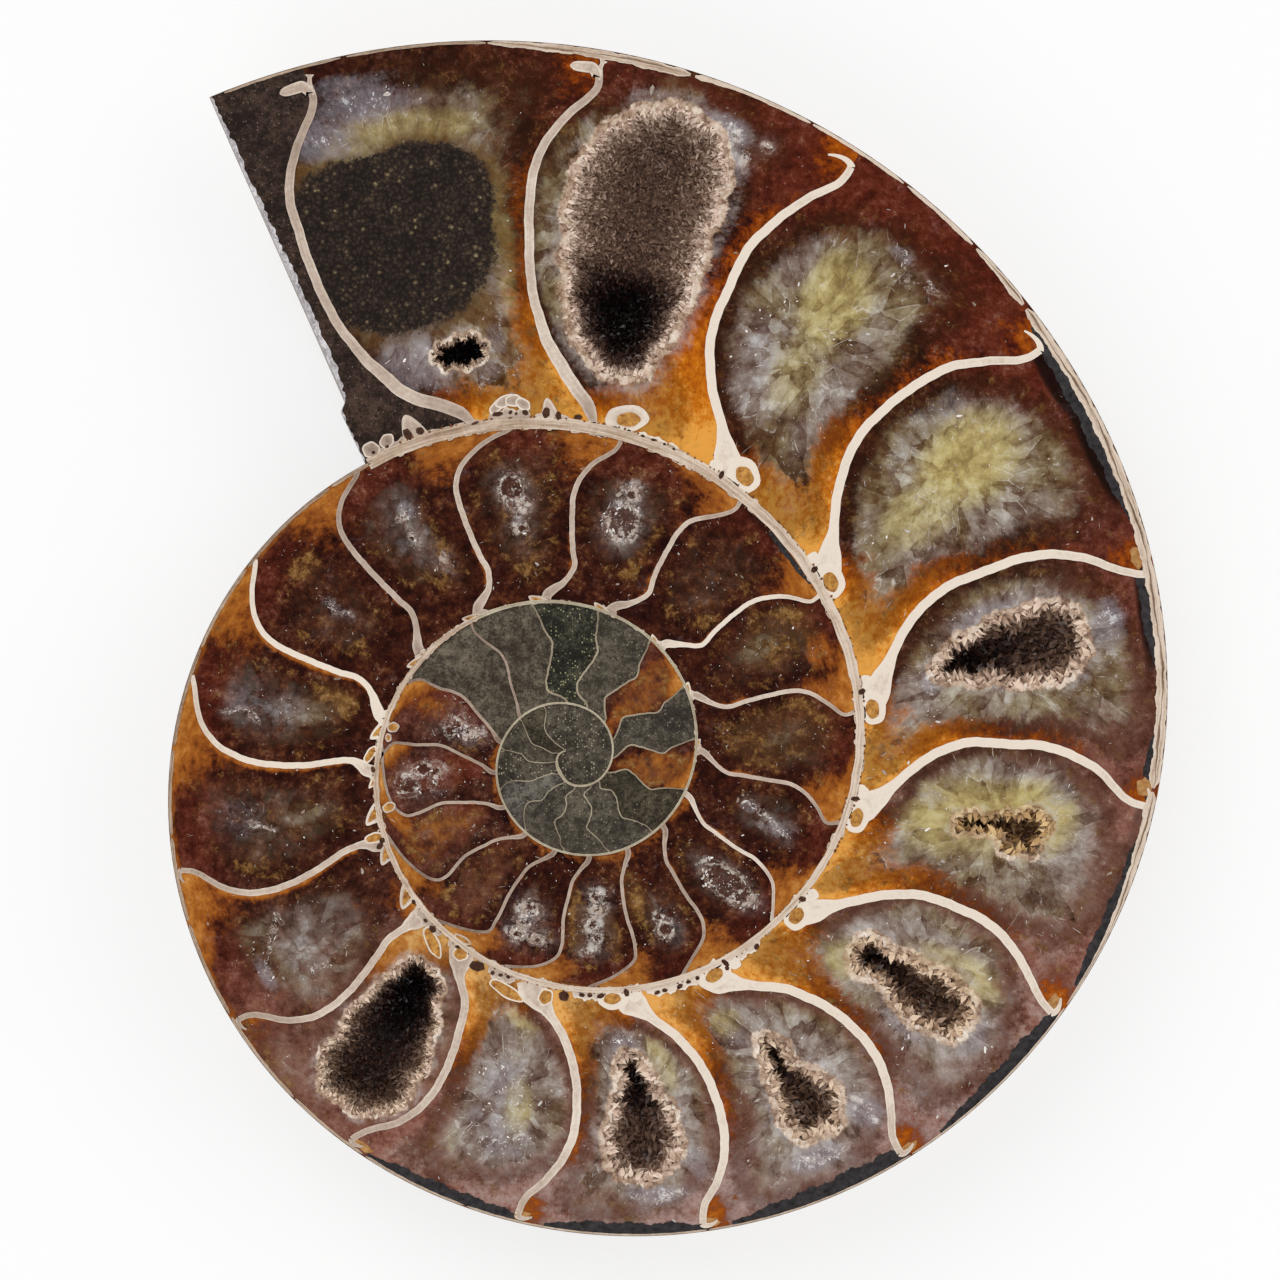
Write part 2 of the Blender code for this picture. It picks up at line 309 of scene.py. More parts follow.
# ---- material building ---------------------------------------------------------------------------
class Nodes:
    """Short names for the node tree of one material. Colours are linear, as srgb gives them."""

    def __init__(self, name):
        self.material = bpy.data.materials.new(name)
        self.material.use_nodes = True
        self.tree = self.material.node_tree
        self.shader = self.tree.nodes["Principled BSDF"]
        coordinates = self.new("TexCoord").outputs["Object"]
        self.place = self.new("VectorMath", {0: coordinates, "Scale": 1 / MM}, operation="SCALE").outputs[0]

    def put(self, socket, value):
        """Links a value to a socket, or sets the socket to it."""
        if isinstance(value, bpy.types.NodeSocket):
            self.tree.links.new(value, socket)
        elif isinstance(value, tuple) and socket.type == "RGBA":
            socket.default_value = (*value, 1.0)
        else:
            socket.default_value = value

    def new(self, kind, inputs=(), **settings):
        """A node with its settings, and with what goes into its sockets."""
        node = self.tree.nodes.new("ShaderNode" + kind)
        for name, setting in settings.items():
            setattr(node, name, setting)
        for socket, value in dict(inputs).items():
            self.put(node.inputs[socket], value)
        return node

    def math(self, operation, a, b=0.0):
        return self.new("Math", {0: a, 1: b}, operation=operation).outputs[0]

    def add(self, a, b):
        return self.math("ADD", a, b)

    def times(self, a, b):
        return self.math("MULTIPLY", a, b)

    def blend(self, *terms):
        """Weighted sum: each value is followed by its share."""
        total = terms[0] if terms[1] == 1.0 else self.times(*terms[:2])
        for value, share in zip(terms[2::2], terms[3::2]):
            total = self.new("Math", {0: value, 1: share, 2: total}, operation="MULTIPLY_ADD").outputs[0]
        return total

    def centred(self, value):
        """Moves values about 0.5 to lie about 0."""
        return self.math("SUBTRACT", value, 0.5)

    def fade(self, value, low, high):
        """0 at low and beyond it, 1 at high and beyond it, smooth between."""
        span = {"From Min": min(low, high), "From Max": max(low, high)}
        ends = {"To Min": float(low > high), "To Max": float(low < high)}
        node = self.new("MapRange", {"Value": value, **span, **ends}, interpolation_type="SMOOTHSTEP")
        return node.outputs["Result"]

    def mix(self, factor, a, b, blend="MIX"):
        inputs = {"Factor": factor, 6: a, 7: b}
        return self.new("Mix", inputs, data_type="RGBA", blend_type=blend).outputs[2]

    def ramp(self, factor, *stops):
        """Colours along a value. A stop has a position, then three screen values, a grey or a colour."""
        node = self.new("ValToRGB", {"Fac": factor})
        elements = node.color_ramp.elements
        while len(elements) < len(stops):
            elements.new(0.5)
        for element, (position, *colour) in zip(elements, stops):
            if len(colour) == 3:
                colour = [srgb(*colour)]
            element.position = position
            element.color = (*(colour[0] if isinstance(colour[0], tuple) else colour * 3), 1.0)
        return node.outputs["Color"]

    def noise(self, scale, detail=4.0, roughness=0.55, vector=None):
        """Fractal noise about 0.5, its scale in repeats per mm."""
        inputs = {"Vector": vector or self.place, "Scale": scale, "Detail": detail, "Roughness": roughness}
        return self.new("TexNoise", inputs).outputs["Fac"]

    def drift(self, scale, detail, roughness, vector=None):
        """The same noise about 0."""
        return self.centred(self.noise(scale, detail, roughness, vector))

    def cells(self, scale, feature="F1", vector=None):
        return self.new("TexVoronoi", {"Vector": vector or self.place, "Scale": scale}, feature=feature)

    def split(self, colour):
        return self.new("SeparateColor", {0: colour}).outputs

    def facets(self, vector):
        """A value for each cell of a crazed pattern, shaded within the cell, and about 0."""
        node = self.cells(1.0, vector=vector)
        chance = self.split(node.outputs["Color"])[0]
        return self.math("SUBTRACT", self.blend(chance, 1.0, node.outputs["Distance"], -0.7), 0.15)

    def warped(self, vector, scale, amount):
        """The same place, pushed about by noise."""
        noise = self.new("TexNoise", {"Vector": vector, "Scale": scale, "Detail": 2.0}).outputs["Color"]
        inputs = {0: noise, 1: (amount,) * 3, 2: vector}
        return self.new("VectorMath", inputs, operation="MULTIPLY_ADD").outputs[0]

    def stretched(self, vector, scale, turned_by=0.0):
        inputs = {"Vector": vector, "Rotation": (0, 0, math.radians(turned_by)), "Scale": scale}
        return self.new("Mapping", inputs).outputs["Vector"]

    def attribute(self, name, output="Fac"):
        return self.new("Attribute", attribute_name=name).outputs[output]

    def parts(self, name):
        """The four values of a colour attribute."""
        node = self.new("Attribute", attribute_name=name)
        return [*self.split(node.outputs["Color"]), node.outputs["Alpha"]]

    def bump(self, height, distance_mm, strength=1.0):
        node = self.new("Bump", {"Strength": strength, "Distance": distance_mm * MM, "Height": height})
        self.put(self.shader.inputs["Normal"], node.outputs["Normal"])

    def surface(self, colour, roughness, specular=0.4):
        inputs = {"Base Color": colour, "Roughness": roughness, "Specular IOR Level": specular}
        for socket, value in inputs.items():
            self.put(self.shader.inputs[socket], value)
        return self.material


def srgb(red, green, blue):
    """Linear colour from the 0 to 255 values that a screen shows."""
    def linear(value):
        value /= 255
        return value / 12.92 if value <= 0.04045 else ((value + 0.055) / 1.055) ** 2.4
    return tuple(linear(v) for v in (red, green, blue))


def toned(colour, share):
    """The same colour, darker or brighter."""
    return tuple(part * share for part in colour)


def calcite_material():
    """Translucent calcite: brown, red and amber, with cores of grey, olive and yellow crystals."""
    n = Nodes("calcite")
    core, amber, red, rim = n.parts("growth")
    white, yellow, blue, gold = n.parts("spots")
    sand, dark, pale, cored = n.parts("fill")
    mellow = n.attribute("mellow")
    fibre, flow = n.attribute("fibre", "Vector"), n.attribute("flow", "Vector")
    big = n.drift(0.13, 3, 0.55)
    mid = n.drift(0.5, 5, 0.68)
    fine = n.drift(2.4, 5, 0.78)
    grain = n.drift(6.5, 2, 0.7)
    streams = n.drift(1.0, 5, 0.7, n.stretched(flow, (0.22, 1.3, 1.0)))
    rays = n.drift(1.0, 5, 0.75, n.stretched(fibre, (1.1, 1.1, 0.24)))
    needles = n.drift(1.0, 4, 0.8, n.stretched(fibre, (3.4, 3.4, 0.6)))
    blade_places = n.warped(n.stretched(fibre, (0.80, 0.80, 0.24)), 0.5, 0.9)
    plates = n.facets(blade_places)
    chips = n.facets(n.warped(n.place, 0.9, 1.8))
    clouds = n.drift(0.42, 6, 0.7, n.warped(n.place, 0.3, 1.2))
    wave = n.blend(mid, 1.0, fine, 0.55)

    # Clear calcite: nearly black brown, redder outwards, paler where light comes through
    shade = n.blend(mid, 0.9, fine, 0.75, streams, 0.7, clouds, 0.6)
    brown = n.ramp(n.add(shade, 0.5), (0.22, 24, 8, 7), (0.44, 46, 18, 12), (0.6, 68, 32, 19),
        (0.74, 92, 52, 28), (0.92, 132, 92, 54))
    reddish = n.ramp(n.add(shade, 0.5), (0.22, 52, 17, 11), (0.46, 82, 31, 18), (0.64, 100, 46, 32),
        (0.9, 138, 90, 74))
    light = n.ramp(n.add(shade, 0.5), (0.2, 96, 52, 42), (0.46, 132, 88, 74), (0.64, 146, 106, 92),
        (0.9, 176, 150, 138))
    base = n.mix(n.fade(n.blend(red, 1.0, wave, 0.6), 0.15, 0.85), brown, reddish)
    base = n.mix(n.fade(n.blend(pale, 1.0, wave, 0.5), 0.02, 1.0), base, light)
    bleached = n.fade(n.blend(pale, 1.0, wave, 0.9, clouds, 0.8), 0.85, 1.45)
    base = n.mix(n.times(bleached, 0.62), base, srgb(178, 164, 160))
    stir = n.blend(wave, 0.46, clouds, 0.4, streams, 0.8, big, 0.25)
    ember = n.blend(amber, 0.95, stir, 1.18)
    warm = n.ramp(ember, (0.12, 62, 20, 6), (0.34, 114, 46, 8), (0.56, 158, 76, 10), (0.78, 194, 108, 16),
        (1.0, 222, 154, 64))
    milky = n.ramp(ember, (0.12, 78, 38, 20), (0.36, 118, 68, 30), (0.6, 152, 100, 44),
        (0.84, 190, 142, 80), (1.0, 218, 184, 132))
    warm = n.mix(mellow, warm, milky)
    base = n.mix(n.fade(ember, 0.09, 0.45), base, warm)

    # Golden dust in clumps, thickest round the core and in golden places
    border = n.times(n.fade(core, 0.75, 1.0), n.fade(core, 1.5, 1.1))
    dust_amount = n.blend(n.times(border, 0.62), 1.0, gold, 0.8)
    clumps = n.drift(0.55, 8, 0.8, n.warped(n.place, 0.5, 1.5))
    dust = n.blend(clumps, 1.7, needles, 0.35, dust_amount, 0.26)
    dusty = n.times(n.fade(dust, 0.20, 0.44), n.fade(dust_amount, 0.0, 0.45))
    haze = n.times(n.fade(n.blend(clouds, 1.0, gold, 0.5), 0.05, 0.6), n.fade(gold, 0.0, 0.8))
    base = n.mix(n.times(haze, 0.28), base, srgb(108, 76, 44))
    base = n.mix(n.times(dusty, 0.85), base, n.ramp(n.blend(fine, 1.0, dust, 0.6), (0.05, 92, 58, 26),
        (0.3, 138, 100, 54), (0.6, 190, 166, 124)))

    # The core: cloudy olive and grey, cut by radiating crystals, with a feathered dark edge
    crystal = n.blend(mid, 0.7, fine, 0.6, rays, 0.8, plates, 0.22)
    edge = n.blend(core, 1.0, crystal, 0.5, big, 0.5)
    inside = n.times(n.fade(edge, 1.06, 0.82), cored)
    border = n.times(n.times(n.fade(edge, 0.88, 1.04), n.fade(edge, 1.35, 1.1)), n.times(cored, 0.5))
    base = n.mix(border, base, srgb(46, 26, 12))
    value = n.blend(clouds, 1.1, plates, 0.34, rays, 0.4, needles, 0.35)
    value = n.blend(value, 1.0, chips, 0.1, n.fade(core, 1.1, 0.2), 0.14)
    olive = n.ramp(n.add(value, 0.39), (0.06, 50, 30, 16), (0.28, 90, 66, 42), (0.48, 122, 104, 76),
        (0.68, 152, 140, 114), (0.98, 206, 202, 186))
    cool = n.ramp(n.add(value, 0.4), (0.06, 58, 37, 30), (0.28, 98, 76, 66), (0.48, 130, 114, 104),
        (0.68, 160, 150, 142), (0.98, 214, 212, 210))
    soft = n.blend(clouds, 1.0, fine, 0.35, rays, 0.6, plates, 0.14)
    sulphur = n.ramp(n.add(soft, 0.46), (0.08, 124, 100, 56), (0.32, 154, 134, 82), (0.5, 180, 162, 102),
        (0.7, 202, 188, 136), (0.95, 230, 224, 196))
    chill = n.drift(0.3, 4, 0.65, n.stretched(n.place, (1.0, 1.0, 1.0), 40))
    chill = n.blend(chill, 2.2, blue, 1.0, fine, 0.5, pale, 0.4)
    body = n.mix(n.fade(chill, -0.15, 0.75), olive, cool)
    glow = n.blend(yellow, 1.0, clouds, 0.6, rays, 0.4, plates, 0.15)
    body = n.mix(n.times(n.fade(glow, -0.1, 1.0), n.fade(yellow, 0.0, 0.3)), body, sulphur)
    base = n.mix(inside, base, body)

    # Thin pale edges of crystals that lie across the cut, and finer ones everywhere
    edges = n.math("ABSOLUTE", n.drift(1.0, 3, 0.6, n.stretched(fibre, (1.0, 1.0, 0.3))))
    edges = n.times(n.fade(edges, 0.016, 0.004), n.fade(n.blend(clouds, 1.0, fine, 0.5), 0.0, 0.2))
    base = n.mix(n.times(n.times(edges, inside), 0.55), base, srgb(206, 202, 196))
    blades = n.cells(1.0, "DISTANCE_TO_EDGE", vector=blade_places).outputs["Distance"]
    blades = n.times(n.fade(blades, 0.035, 0.004), n.fade(n.blend(mid, 1.0, clouds, 0.8), 0.02, 0.22))
    base = n.mix(n.times(n.times(blades, inside), 0.60), base, srgb(214, 208, 200))
    webs = n.cells(0.9, "DISTANCE_TO_EDGE", vector=n.warped(n.place, 1.1, 2.4)).outputs["Distance"]
    webs = n.times(n.fade(webs, 0.035, 0.0), n.fade(n.blend(mid, 1.0, fine, 0.8), 0.06, 0.25))
    base = n.mix(n.times(webs, 0.40), base, n.mix(0.5, srgb(176, 148, 118), base, "SCREEN"))

    # Dark places, sand, and white crystal clusters
    base = n.mix(n.times(n.fade(n.blend(dark, 1.0, wave, 0.7), 0.25, 0.85), 0.94), base, srgb(20, 10, 8))
    grains = n.cells(2.7, vector=n.warped(n.place, 2.0, 0.30))
    lumps = n.centred(grains.outputs["Distance"])
    grain_chance = n.split(grains.outputs["Color"])[0]
    # Painted shade between the sand grains: the grain edges, which the bump sinks, are painted darker
    grit = n.blend(n.math("POWER", grain_chance, 9.0), 0.34, n.fade(lumps, -0.22, 0.12), -0.22)
    grit = n.blend(n.add(grit, 0.1), 1.0, fine, 0.7, mid, 0.6)
    sand_colour = n.ramp(n.add(grit, 0.46), (0.12, 11, 7, 6), (0.38, 30, 21, 16), (0.58, 50, 38, 30),
        (0.8, 82, 68, 52), (1.0, 142, 128, 92))
    sandy = n.fade(n.blend(sand, 1.0, mid, 0.6, fine, 0.8), 0.44, 0.64)
    ring = n.times(n.fade(n.blend(sand, 1.0, mid, 0.8, clouds, 0.7), 0.1, 0.46), 0.62)
    base = n.mix(ring, base, n.ramp(n.add(n.blend(fine, 0.7, mid, 0.6), 0.5), (0.2, 50, 27, 12),
        (0.5, 84, 54, 24), (0.8, 134, 108, 58)))
    base = n.mix(sandy, base, sand_colour)
    frost = n.blend(clouds, 1.0, fine, 1.2, needles, 0.8, plates, 0.25)
    veil = n.times(n.fade(n.blend(white, 1.0, frost, 0.8), 0.10, 1.05), 0.60)
    base = n.mix(n.times(veil, n.fade(sandy, 0.7, 0.1)), base, srgb(148, 143, 150))
    crisp = n.times(n.fade(n.blend(white, 1.0, frost, 1.1), 0.85, 1.02), n.fade(white, 0.12, 0.3))
    base = n.mix(n.times(crisp, 0.85), base, n.ramp(n.add(n.blend(chips, 0.25, fine, 1.0), 0.5),
        (0.2, 156, 146, 146), (0.5, 196, 192, 192), (0.8, 232, 228, 226)))

    # Small hollows with ragged white linings, a milky surround, and painted shade inside them
    hollow = n.attribute("hollow")
    tatters = n.blend(fine, 1.1, mid, 0.9, clouds, 0.7, grain, 0.3)
    sways = n.drift(0.9, 3, 0.6, n.warped(n.place, 0.8, 1.0))
    tatters = n.blend(tatters, 1.0, sways, 1.1)
    ragged = n.blend(hollow, 1.0, tatters, 0.85)
    milk = n.times(n.fade(hollow, 1.9, 0.1), n.fade(n.blend(clouds, 1.0, fine, 0.6), -0.15, 0.3))
    base = n.mix(n.times(milk, 0.42), base, srgb(146, 134, 132))
    # Painted shade inside each hollow, over the dark brown of the calcite
    base = n.mix(n.times(n.fade(ragged, 0.05, -0.25), 0.85), base, n.ramp(n.add(fine, 0.5),
        (0.25, 34, 16, 12), (0.55, 76, 46, 36), (0.8, 150, 122, 106)))
    lining = n.fade(n.blend(n.math("ABSOLUTE", ragged), 1.0, sways, 0.9, chips, 0.3), 0.2, 0.06)
    ghost = n.fade(n.math("ABSOLUTE", n.add(n.blend(hollow, 1.0, tatters, -1.5), -0.35)), 0.10, 0.02)
    broken = n.fade(n.blend(clouds, 1.2, sways, 1.0), -0.16, 0.06)
    clots = n.times(n.fade(hollow, 0.9, 0.3), n.fade(n.blend(chips, 0.7, tatters, 0.9), 0.24, 0.40))
    lining = n.blend(n.times(lining, broken), 1.0, n.times(ghost, n.fade(hollow, 1.2, 0.6)), 0.45)
    lining = n.math("MAXIMUM", lining, n.times(clots, 0.55))
    base = n.mix(n.times(n.fade(lining, 0.0, 1.0), 0.84), base, n.ramp(n.add(n.blend(chips, 0.4, fine,
        0.9), 0.5), (0.2, 150, 128, 114), (0.5, 204, 190, 178), (0.8, 240, 234, 226)))

    # The pale crystals cut through around an open pocket
    spikes = n.blend(needles, 1.0, rays, 1.0, fine, 0.9, mid, 0.8)
    feather = n.times(n.fade(n.blend(rim, 1.0, spikes, -2.2), 2.4, 0.9), n.fade(clouds, -0.10, 0.14))
    base = n.mix(n.times(feather, 0.5), base, srgb(172, 162, 158))
    band = n.fade(n.blend(rim, 1.0, spikes, -0.85), 1.0, 0.66)
    cut_crystals = n.blend(chips, 0.45, needles, 0.7, fine, 0.8, rim, -0.16)
    cream = n.ramp(n.add(cut_crystals, 0.58), (0.15, 108, 80, 62), (0.38, 166, 138, 116),
        (0.62, 208, 186, 166), (0.9, 236, 224, 210))
    cream = n.mix(n.fade(yellow, 0.2, 0.8), cream, n.mix(0.6, cream, srgb(230, 212, 140), "MULTIPLY"))
    base = n.mix(n.times(band, 0.94), base, cream)

    # Dust of flecks in the crystal
    shown = n.fade(sand, 0.6, 0.3)
    flecks = n.fade(n.blend(grain, 0.8, fine, 1.0, mid, 0.5, clouds, 0.3), 0.31, 0.42)
    lit = n.mix(0.7, srgb(196, 176, 158), base, "SCREEN")
    base = n.mix(n.times(n.times(flecks, shown), 0.62), base, lit)
    relief = n.blend(fine, 0.3, grain, 0.3, n.times(sandy, lumps), -16.0)
    n.bump(relief, 0.012, 0.4)
    rough = n.blend(n.add(n.blend(fine, 0.2, flecks, 0.15), 0.15), 1.0, sandy, 0.5)
    return n.surface(base, rough, 0.12)


def glint_material():
    """Cleavage faces that catch the light: white slivers and flakes, some nearly clear."""
    n = Nodes("glints")
    tone = n.attribute("tone")
    fine = n.drift(3.0, 4, 0.7)
    base = n.ramp(n.blend(tone, 1.0, fine, 0.45), (0.0, 84, 58, 42), (0.25, 128, 106, 88),
        (0.5, 166, 154, 144), (0.75, 208, 200, 194), (1.0, 242, 238, 232))
    n.bump(fine, 0.01, 0.4)
    return n.surface(base, n.ramp(n.add(fine, 0.5), (0.3, 0.12), (0.8, 0.28)), 0.3)


def matrix_material(name, low, high, speck, specks=0.5, roughness=0.35, specular=0.14):
    """Fine sediment, polished: shades that drift, grains, and small pale or dark specks."""
    n = Nodes(name)
    big = n.drift(0.35, 5, 0.65)
    fine = n.drift(4.5, 6, 0.8)
    value = n.blend(big, 0.9, fine, 1.3, n.drift(1.4, 5, 0.7), 0.7)
    low, high, speck = srgb(*low), srgb(*high), srgb(*speck)
    base = n.ramp(n.add(value, 0.5), (0.28, toned(low, 0.55)), (0.45, low), (0.62, high),
        (0.85, toned(high, 1.5)))
    grain = n.cells(4.6)
    grain_chance = n.split(grain.outputs["Color"])[0]
    chosen = n.fade(n.blend(grain_chance, 1.0, big, 0.5), 0.98 - 0.3 * specks, 1.04 - 0.3 * specks)
    dot = n.times(n.fade(n.blend(grain.outputs["Distance"], 1.0, fine, 0.5), 0.42, 0.18), chosen)
    base = n.mix(n.times(dot, 0.75), base, speck)
    hole = n.cells(1.3).outputs["Distance"]
    dark = n.times(n.fade(n.blend(hole, 1.0, fine, 0.3), 0.20, 0.12), n.fade(big, -0.02, 0.08))
    base = n.mix(n.times(dark, 0.75), base, toned(low, 0.3))
    n.bump(n.blend(fine, 1.0, dark, -1.5), 0.02, 0.5)
    return n.surface(base, n.ramp(n.add(fine, 0.5), (0.3, roughness - 0.08), (0.7, roughness + 0.12)),
        specular)


def shell_material(name, pale, mid_tone, deep, layering):
    """Shell: greyish cream in fine layers along each line, with a brighter skin on its edges."""
    n = Nodes(name)
    across, along, tone = n.attribute("across"), n.attribute("along"), n.attribute("tone")
    join = n.new("CombineXYZ", {0: n.times(across, 2.2), 1: n.times(along, 0.16), 2: tone})
    layers = n.drift(1.3, 4, 0.6, join.outputs[0])
    fine = n.drift(2.2, 6, 0.7)
    patches = n.drift(0.35, 4, 0.6)
    value = n.blend(tone, 1.0, layers, layering, fine, 0.4, patches, 0.5)
    away = n.math("ABSOLUTE", across)
    value = n.blend(n.add(value, -0.05), 1.0, n.fade(away, 0.45, 1.0), 0.13)
    base = n.ramp(value, (0.0, *deep), (0.4, *mid_tone), (0.7, *pale), (1.0, toned(srgb(*pale), 1.06)))
    n.bump(n.blend(layers, 1.0, fine, 0.5), 0.012, 0.4)
    return n.surface(base, n.ramp(n.add(fine, 0.5), (0.3, 0.2), (0.8, 0.4)))


def crystal_material():
    """Small calcite crystals: cream and pinkish by the face, their own colour browner further down, and
    painted shade darkening them to black at the bottom of a pocket.
    """
    n = Nodes("druse_crystals")
    tint, depth = n.attribute("tint"), n.attribute("depth")
    fine = n.drift(3.0, 5, 0.65)
    # depth carries painted shade: the deeper a crystal lies in its pocket, the darker it is painted
    value = n.blend(depth, 1.0, n.centred(tint), 0.34, fine, 0.25)
    base = n.ramp(value, (0.0, 226, 204, 186), (0.12, 192, 164, 144), (0.28, 146, 118, 100),
        (0.5, 104, 78, 66), (0.76, 54, 33, 28), (1.0, 18, 9, 8))
    warm = n.times(n.attribute("warmth"), n.fade(depth, 1.1, 0.4))
    base = n.mix(warm, base, n.mix(1.0, base, srgb(238, 218, 150), "MULTIPLY"))
    n.bump(fine, 0.02, 0.5)
    return n.surface(base, n.ramp(n.add(fine, 0.5), (0.3, 0.2), (0.8, 0.45)), 0.4)


def pocket_material():
    """The rock behind the crystals of an open pocket, pale by the face and darkened by painted shade towards
    the bottom.
    """
    n = Nodes("pocket_wall")
    depth = n.attribute("depth")
    fine = n.noise(2.4, 6, 0.7)
    grain = n.cells(2.8).outputs["Distance"]
    # depth is painted shade of the hollow: the rock is painted darker the deeper it lies
    value = n.blend(depth, 1.0, n.centred(fine), 0.5, n.add(grain, -0.4), 0.3)
    base = n.ramp(value, (0.0, 206, 180, 158), (0.2, 156, 126, 104), (0.45, 112, 82, 66),
        (0.7, 62, 40, 31), (0.95, 20, 11, 9))
    n.bump(n.blend(fine, 1.0, grain, -1.0), 0.25, 0.9)
    return n.surface(base, n.ramp(fine, (0.3, 0.3), (0.8, 0.6)))


def inlay_material(name, low, high):
    """A small inlay mottled between two shades: mostly a filling of one kind of stone; the one for the holes
    at the septa's feet is their painted shade.
    """
    n = Nodes(name)
    fine = n.noise(1.8, 6, 0.7)
    n.bump(fine, 0.015, 0.4)
    return n.surface(n.ramp(fine, (0.3, *low), (0.7, *high)), n.ramp(fine, (0.3, 0.25), (0.8, 0.4)))


def flank_material():
    """The natural back: brown nacre worn through to grey-tan, with fine growth lines and patches of painted
    sheen, the nacre's play of colour.
    """
    n = Nodes("flank")
    growth = n.attribute("growth_line", "Vector")
    lines = n.noise(1.0, 4, 0.6, vector=n.stretched(growth, (2.2, 0.25, 1.0)))
    broad = n.noise(0.05, 5, 0.6)
    mid = n.noise(0.28, 7, 0.65)
    fine = n.noise(2.2, 6, 0.7)
    value = n.blend(broad, 0.5, mid, 0.5, n.centred(lines), 0.35, n.centred(fine), 0.25)
    base = n.ramp(value, (0.3, 74, 50, 36), (0.42, 120, 88, 62),
        (0.54, 168, 138, 106), (0.66, 204, 184, 156), (0.8, 150, 100, 62))
    # Painted sheen: patches of red, gold, green and pink stand in for the nacre's iridescence
    nacre_sheen = n.noise(0.09, 3, 0.5)
    base = n.mix(n.times(n.fade(nacre_sheen, 0.55, 0.7), 0.35), base, n.ramp(n.noise(0.3, 3, 0.5),
        (0.3, 150, 70, 60), (0.45, 180, 150, 90), (0.6, 110, 140, 110), (0.75, 170, 120, 130)))
    pits = n.cells(0.9).outputs["Distance"]
    base = n.mix(n.times(n.fade(pits, 0.14, 0.06), 0.6), base, srgb(52, 38, 30))
    n.bump(n.blend(lines, 0.8, mid, 1.2, fine, 0.3), 0.12, 0.8)
    return n.surface(base, n.ramp(mid, (0.3, 0.32), (0.7, 0.6)))


def floor_material():
    """A white floor that keeps a soft shadow: the camera sees it lit a little beyond the lamps."""
    n = Nodes("floor")
    fine = n.noise(0.02, 2, 0.5)
    n.surface(n.ramp(fine, (0.3, 0.9), (0.7, 0.92)), 0.9, 0.1)
    path = n.new("LightPath")
    seen = n.math("MAXIMUM", path.outputs["Is Camera Ray"], path.outputs["Is Glossy Ray"])
    seen = n.math("MAXIMUM", seen, path.outputs["Is Transmission Ray"])
    glow = n.new("Emission", {"Color": (1.0, 1.0, 1.0), "Strength": 1.0})
    mixer = n.new("MixShader", {0: n.times(seen, FLOOR_GLOW), 1: n.shader.outputs[0], 2: glow.outputs[0]})
    output = n.tree.nodes["Material Output"]
    n.tree.links.new(mixer.outputs[0], output.inputs["Surface"])
    return n.material


# ---- design: what fills the chambers -------------------------------------------------------------
# Chamber n lies between septum n and the newer one before it: n = 1 is the last at the mouth.
# Core of each calcite chamber: from and to as shares of the way from its older to its newer septum,
# lowest and highest point in the whorl, and how much of it shows
CORES = {
    1: (0.08, 1.02, 0.07, 0.89, 0.95), 2: (0.24, 1, 0.08, 0.94, 0.8), 3: (0.15, 0.92, 0.08, 0.84, 1),
    4: (0.13, 0.9, 0.12, 0.88, 1), 5: (0.12, 0.93, 0.08, 0.89, 1), 6: (0.1, 0.95, 0.12, 0.88, 1),
    7: (0.12, 0.96, 0.12, 0.88, 1), 8: (0.14, 0.96, 0.12, 0.91, 1), 9: (0.13, 0.94, 0.12, 0.88, 1),
    10: (0.14, 0.93, 0.1, 0.87, 1), 11: (0.02, 1, 0.04, 0.98, 0.4), 12: (0.16, 0.94, 0.22, 0.8, 0.45),
    13: (0.15, 0.85, 0.16, 0.84, 0.12), 14: (0.2, 0.85, 0.2, 0.84, 0.15),
    15: (0.2, 0.8, 0.25, 0.75, 0.05), 16: (0.3, 0.85, 0.3, 0.85, 0.15), 17: (0.2, 0.85, 0.2, 0.85, 0.05),
    18: (0.2, 0.85, 0.25, 0.8, 0.12), 22: (0.25, 0.85, 0.3, 0.8, 0.1), 24: (0.25, 0.85, 0.3, 0.85, 0.05),
    26: (0.2, 0.8, 0.25, 0.8, 0.05), 29: (0.2, 0.8, 0.3, 0.85, 0.05), 30: (0.2, 0.85, 0.2, 0.7, 0.05),
}
DEFAULT_CORE = (0.15, 0.85, 0.2, 0.82, 0.05)
CORE_SQUARENESS = 2.5

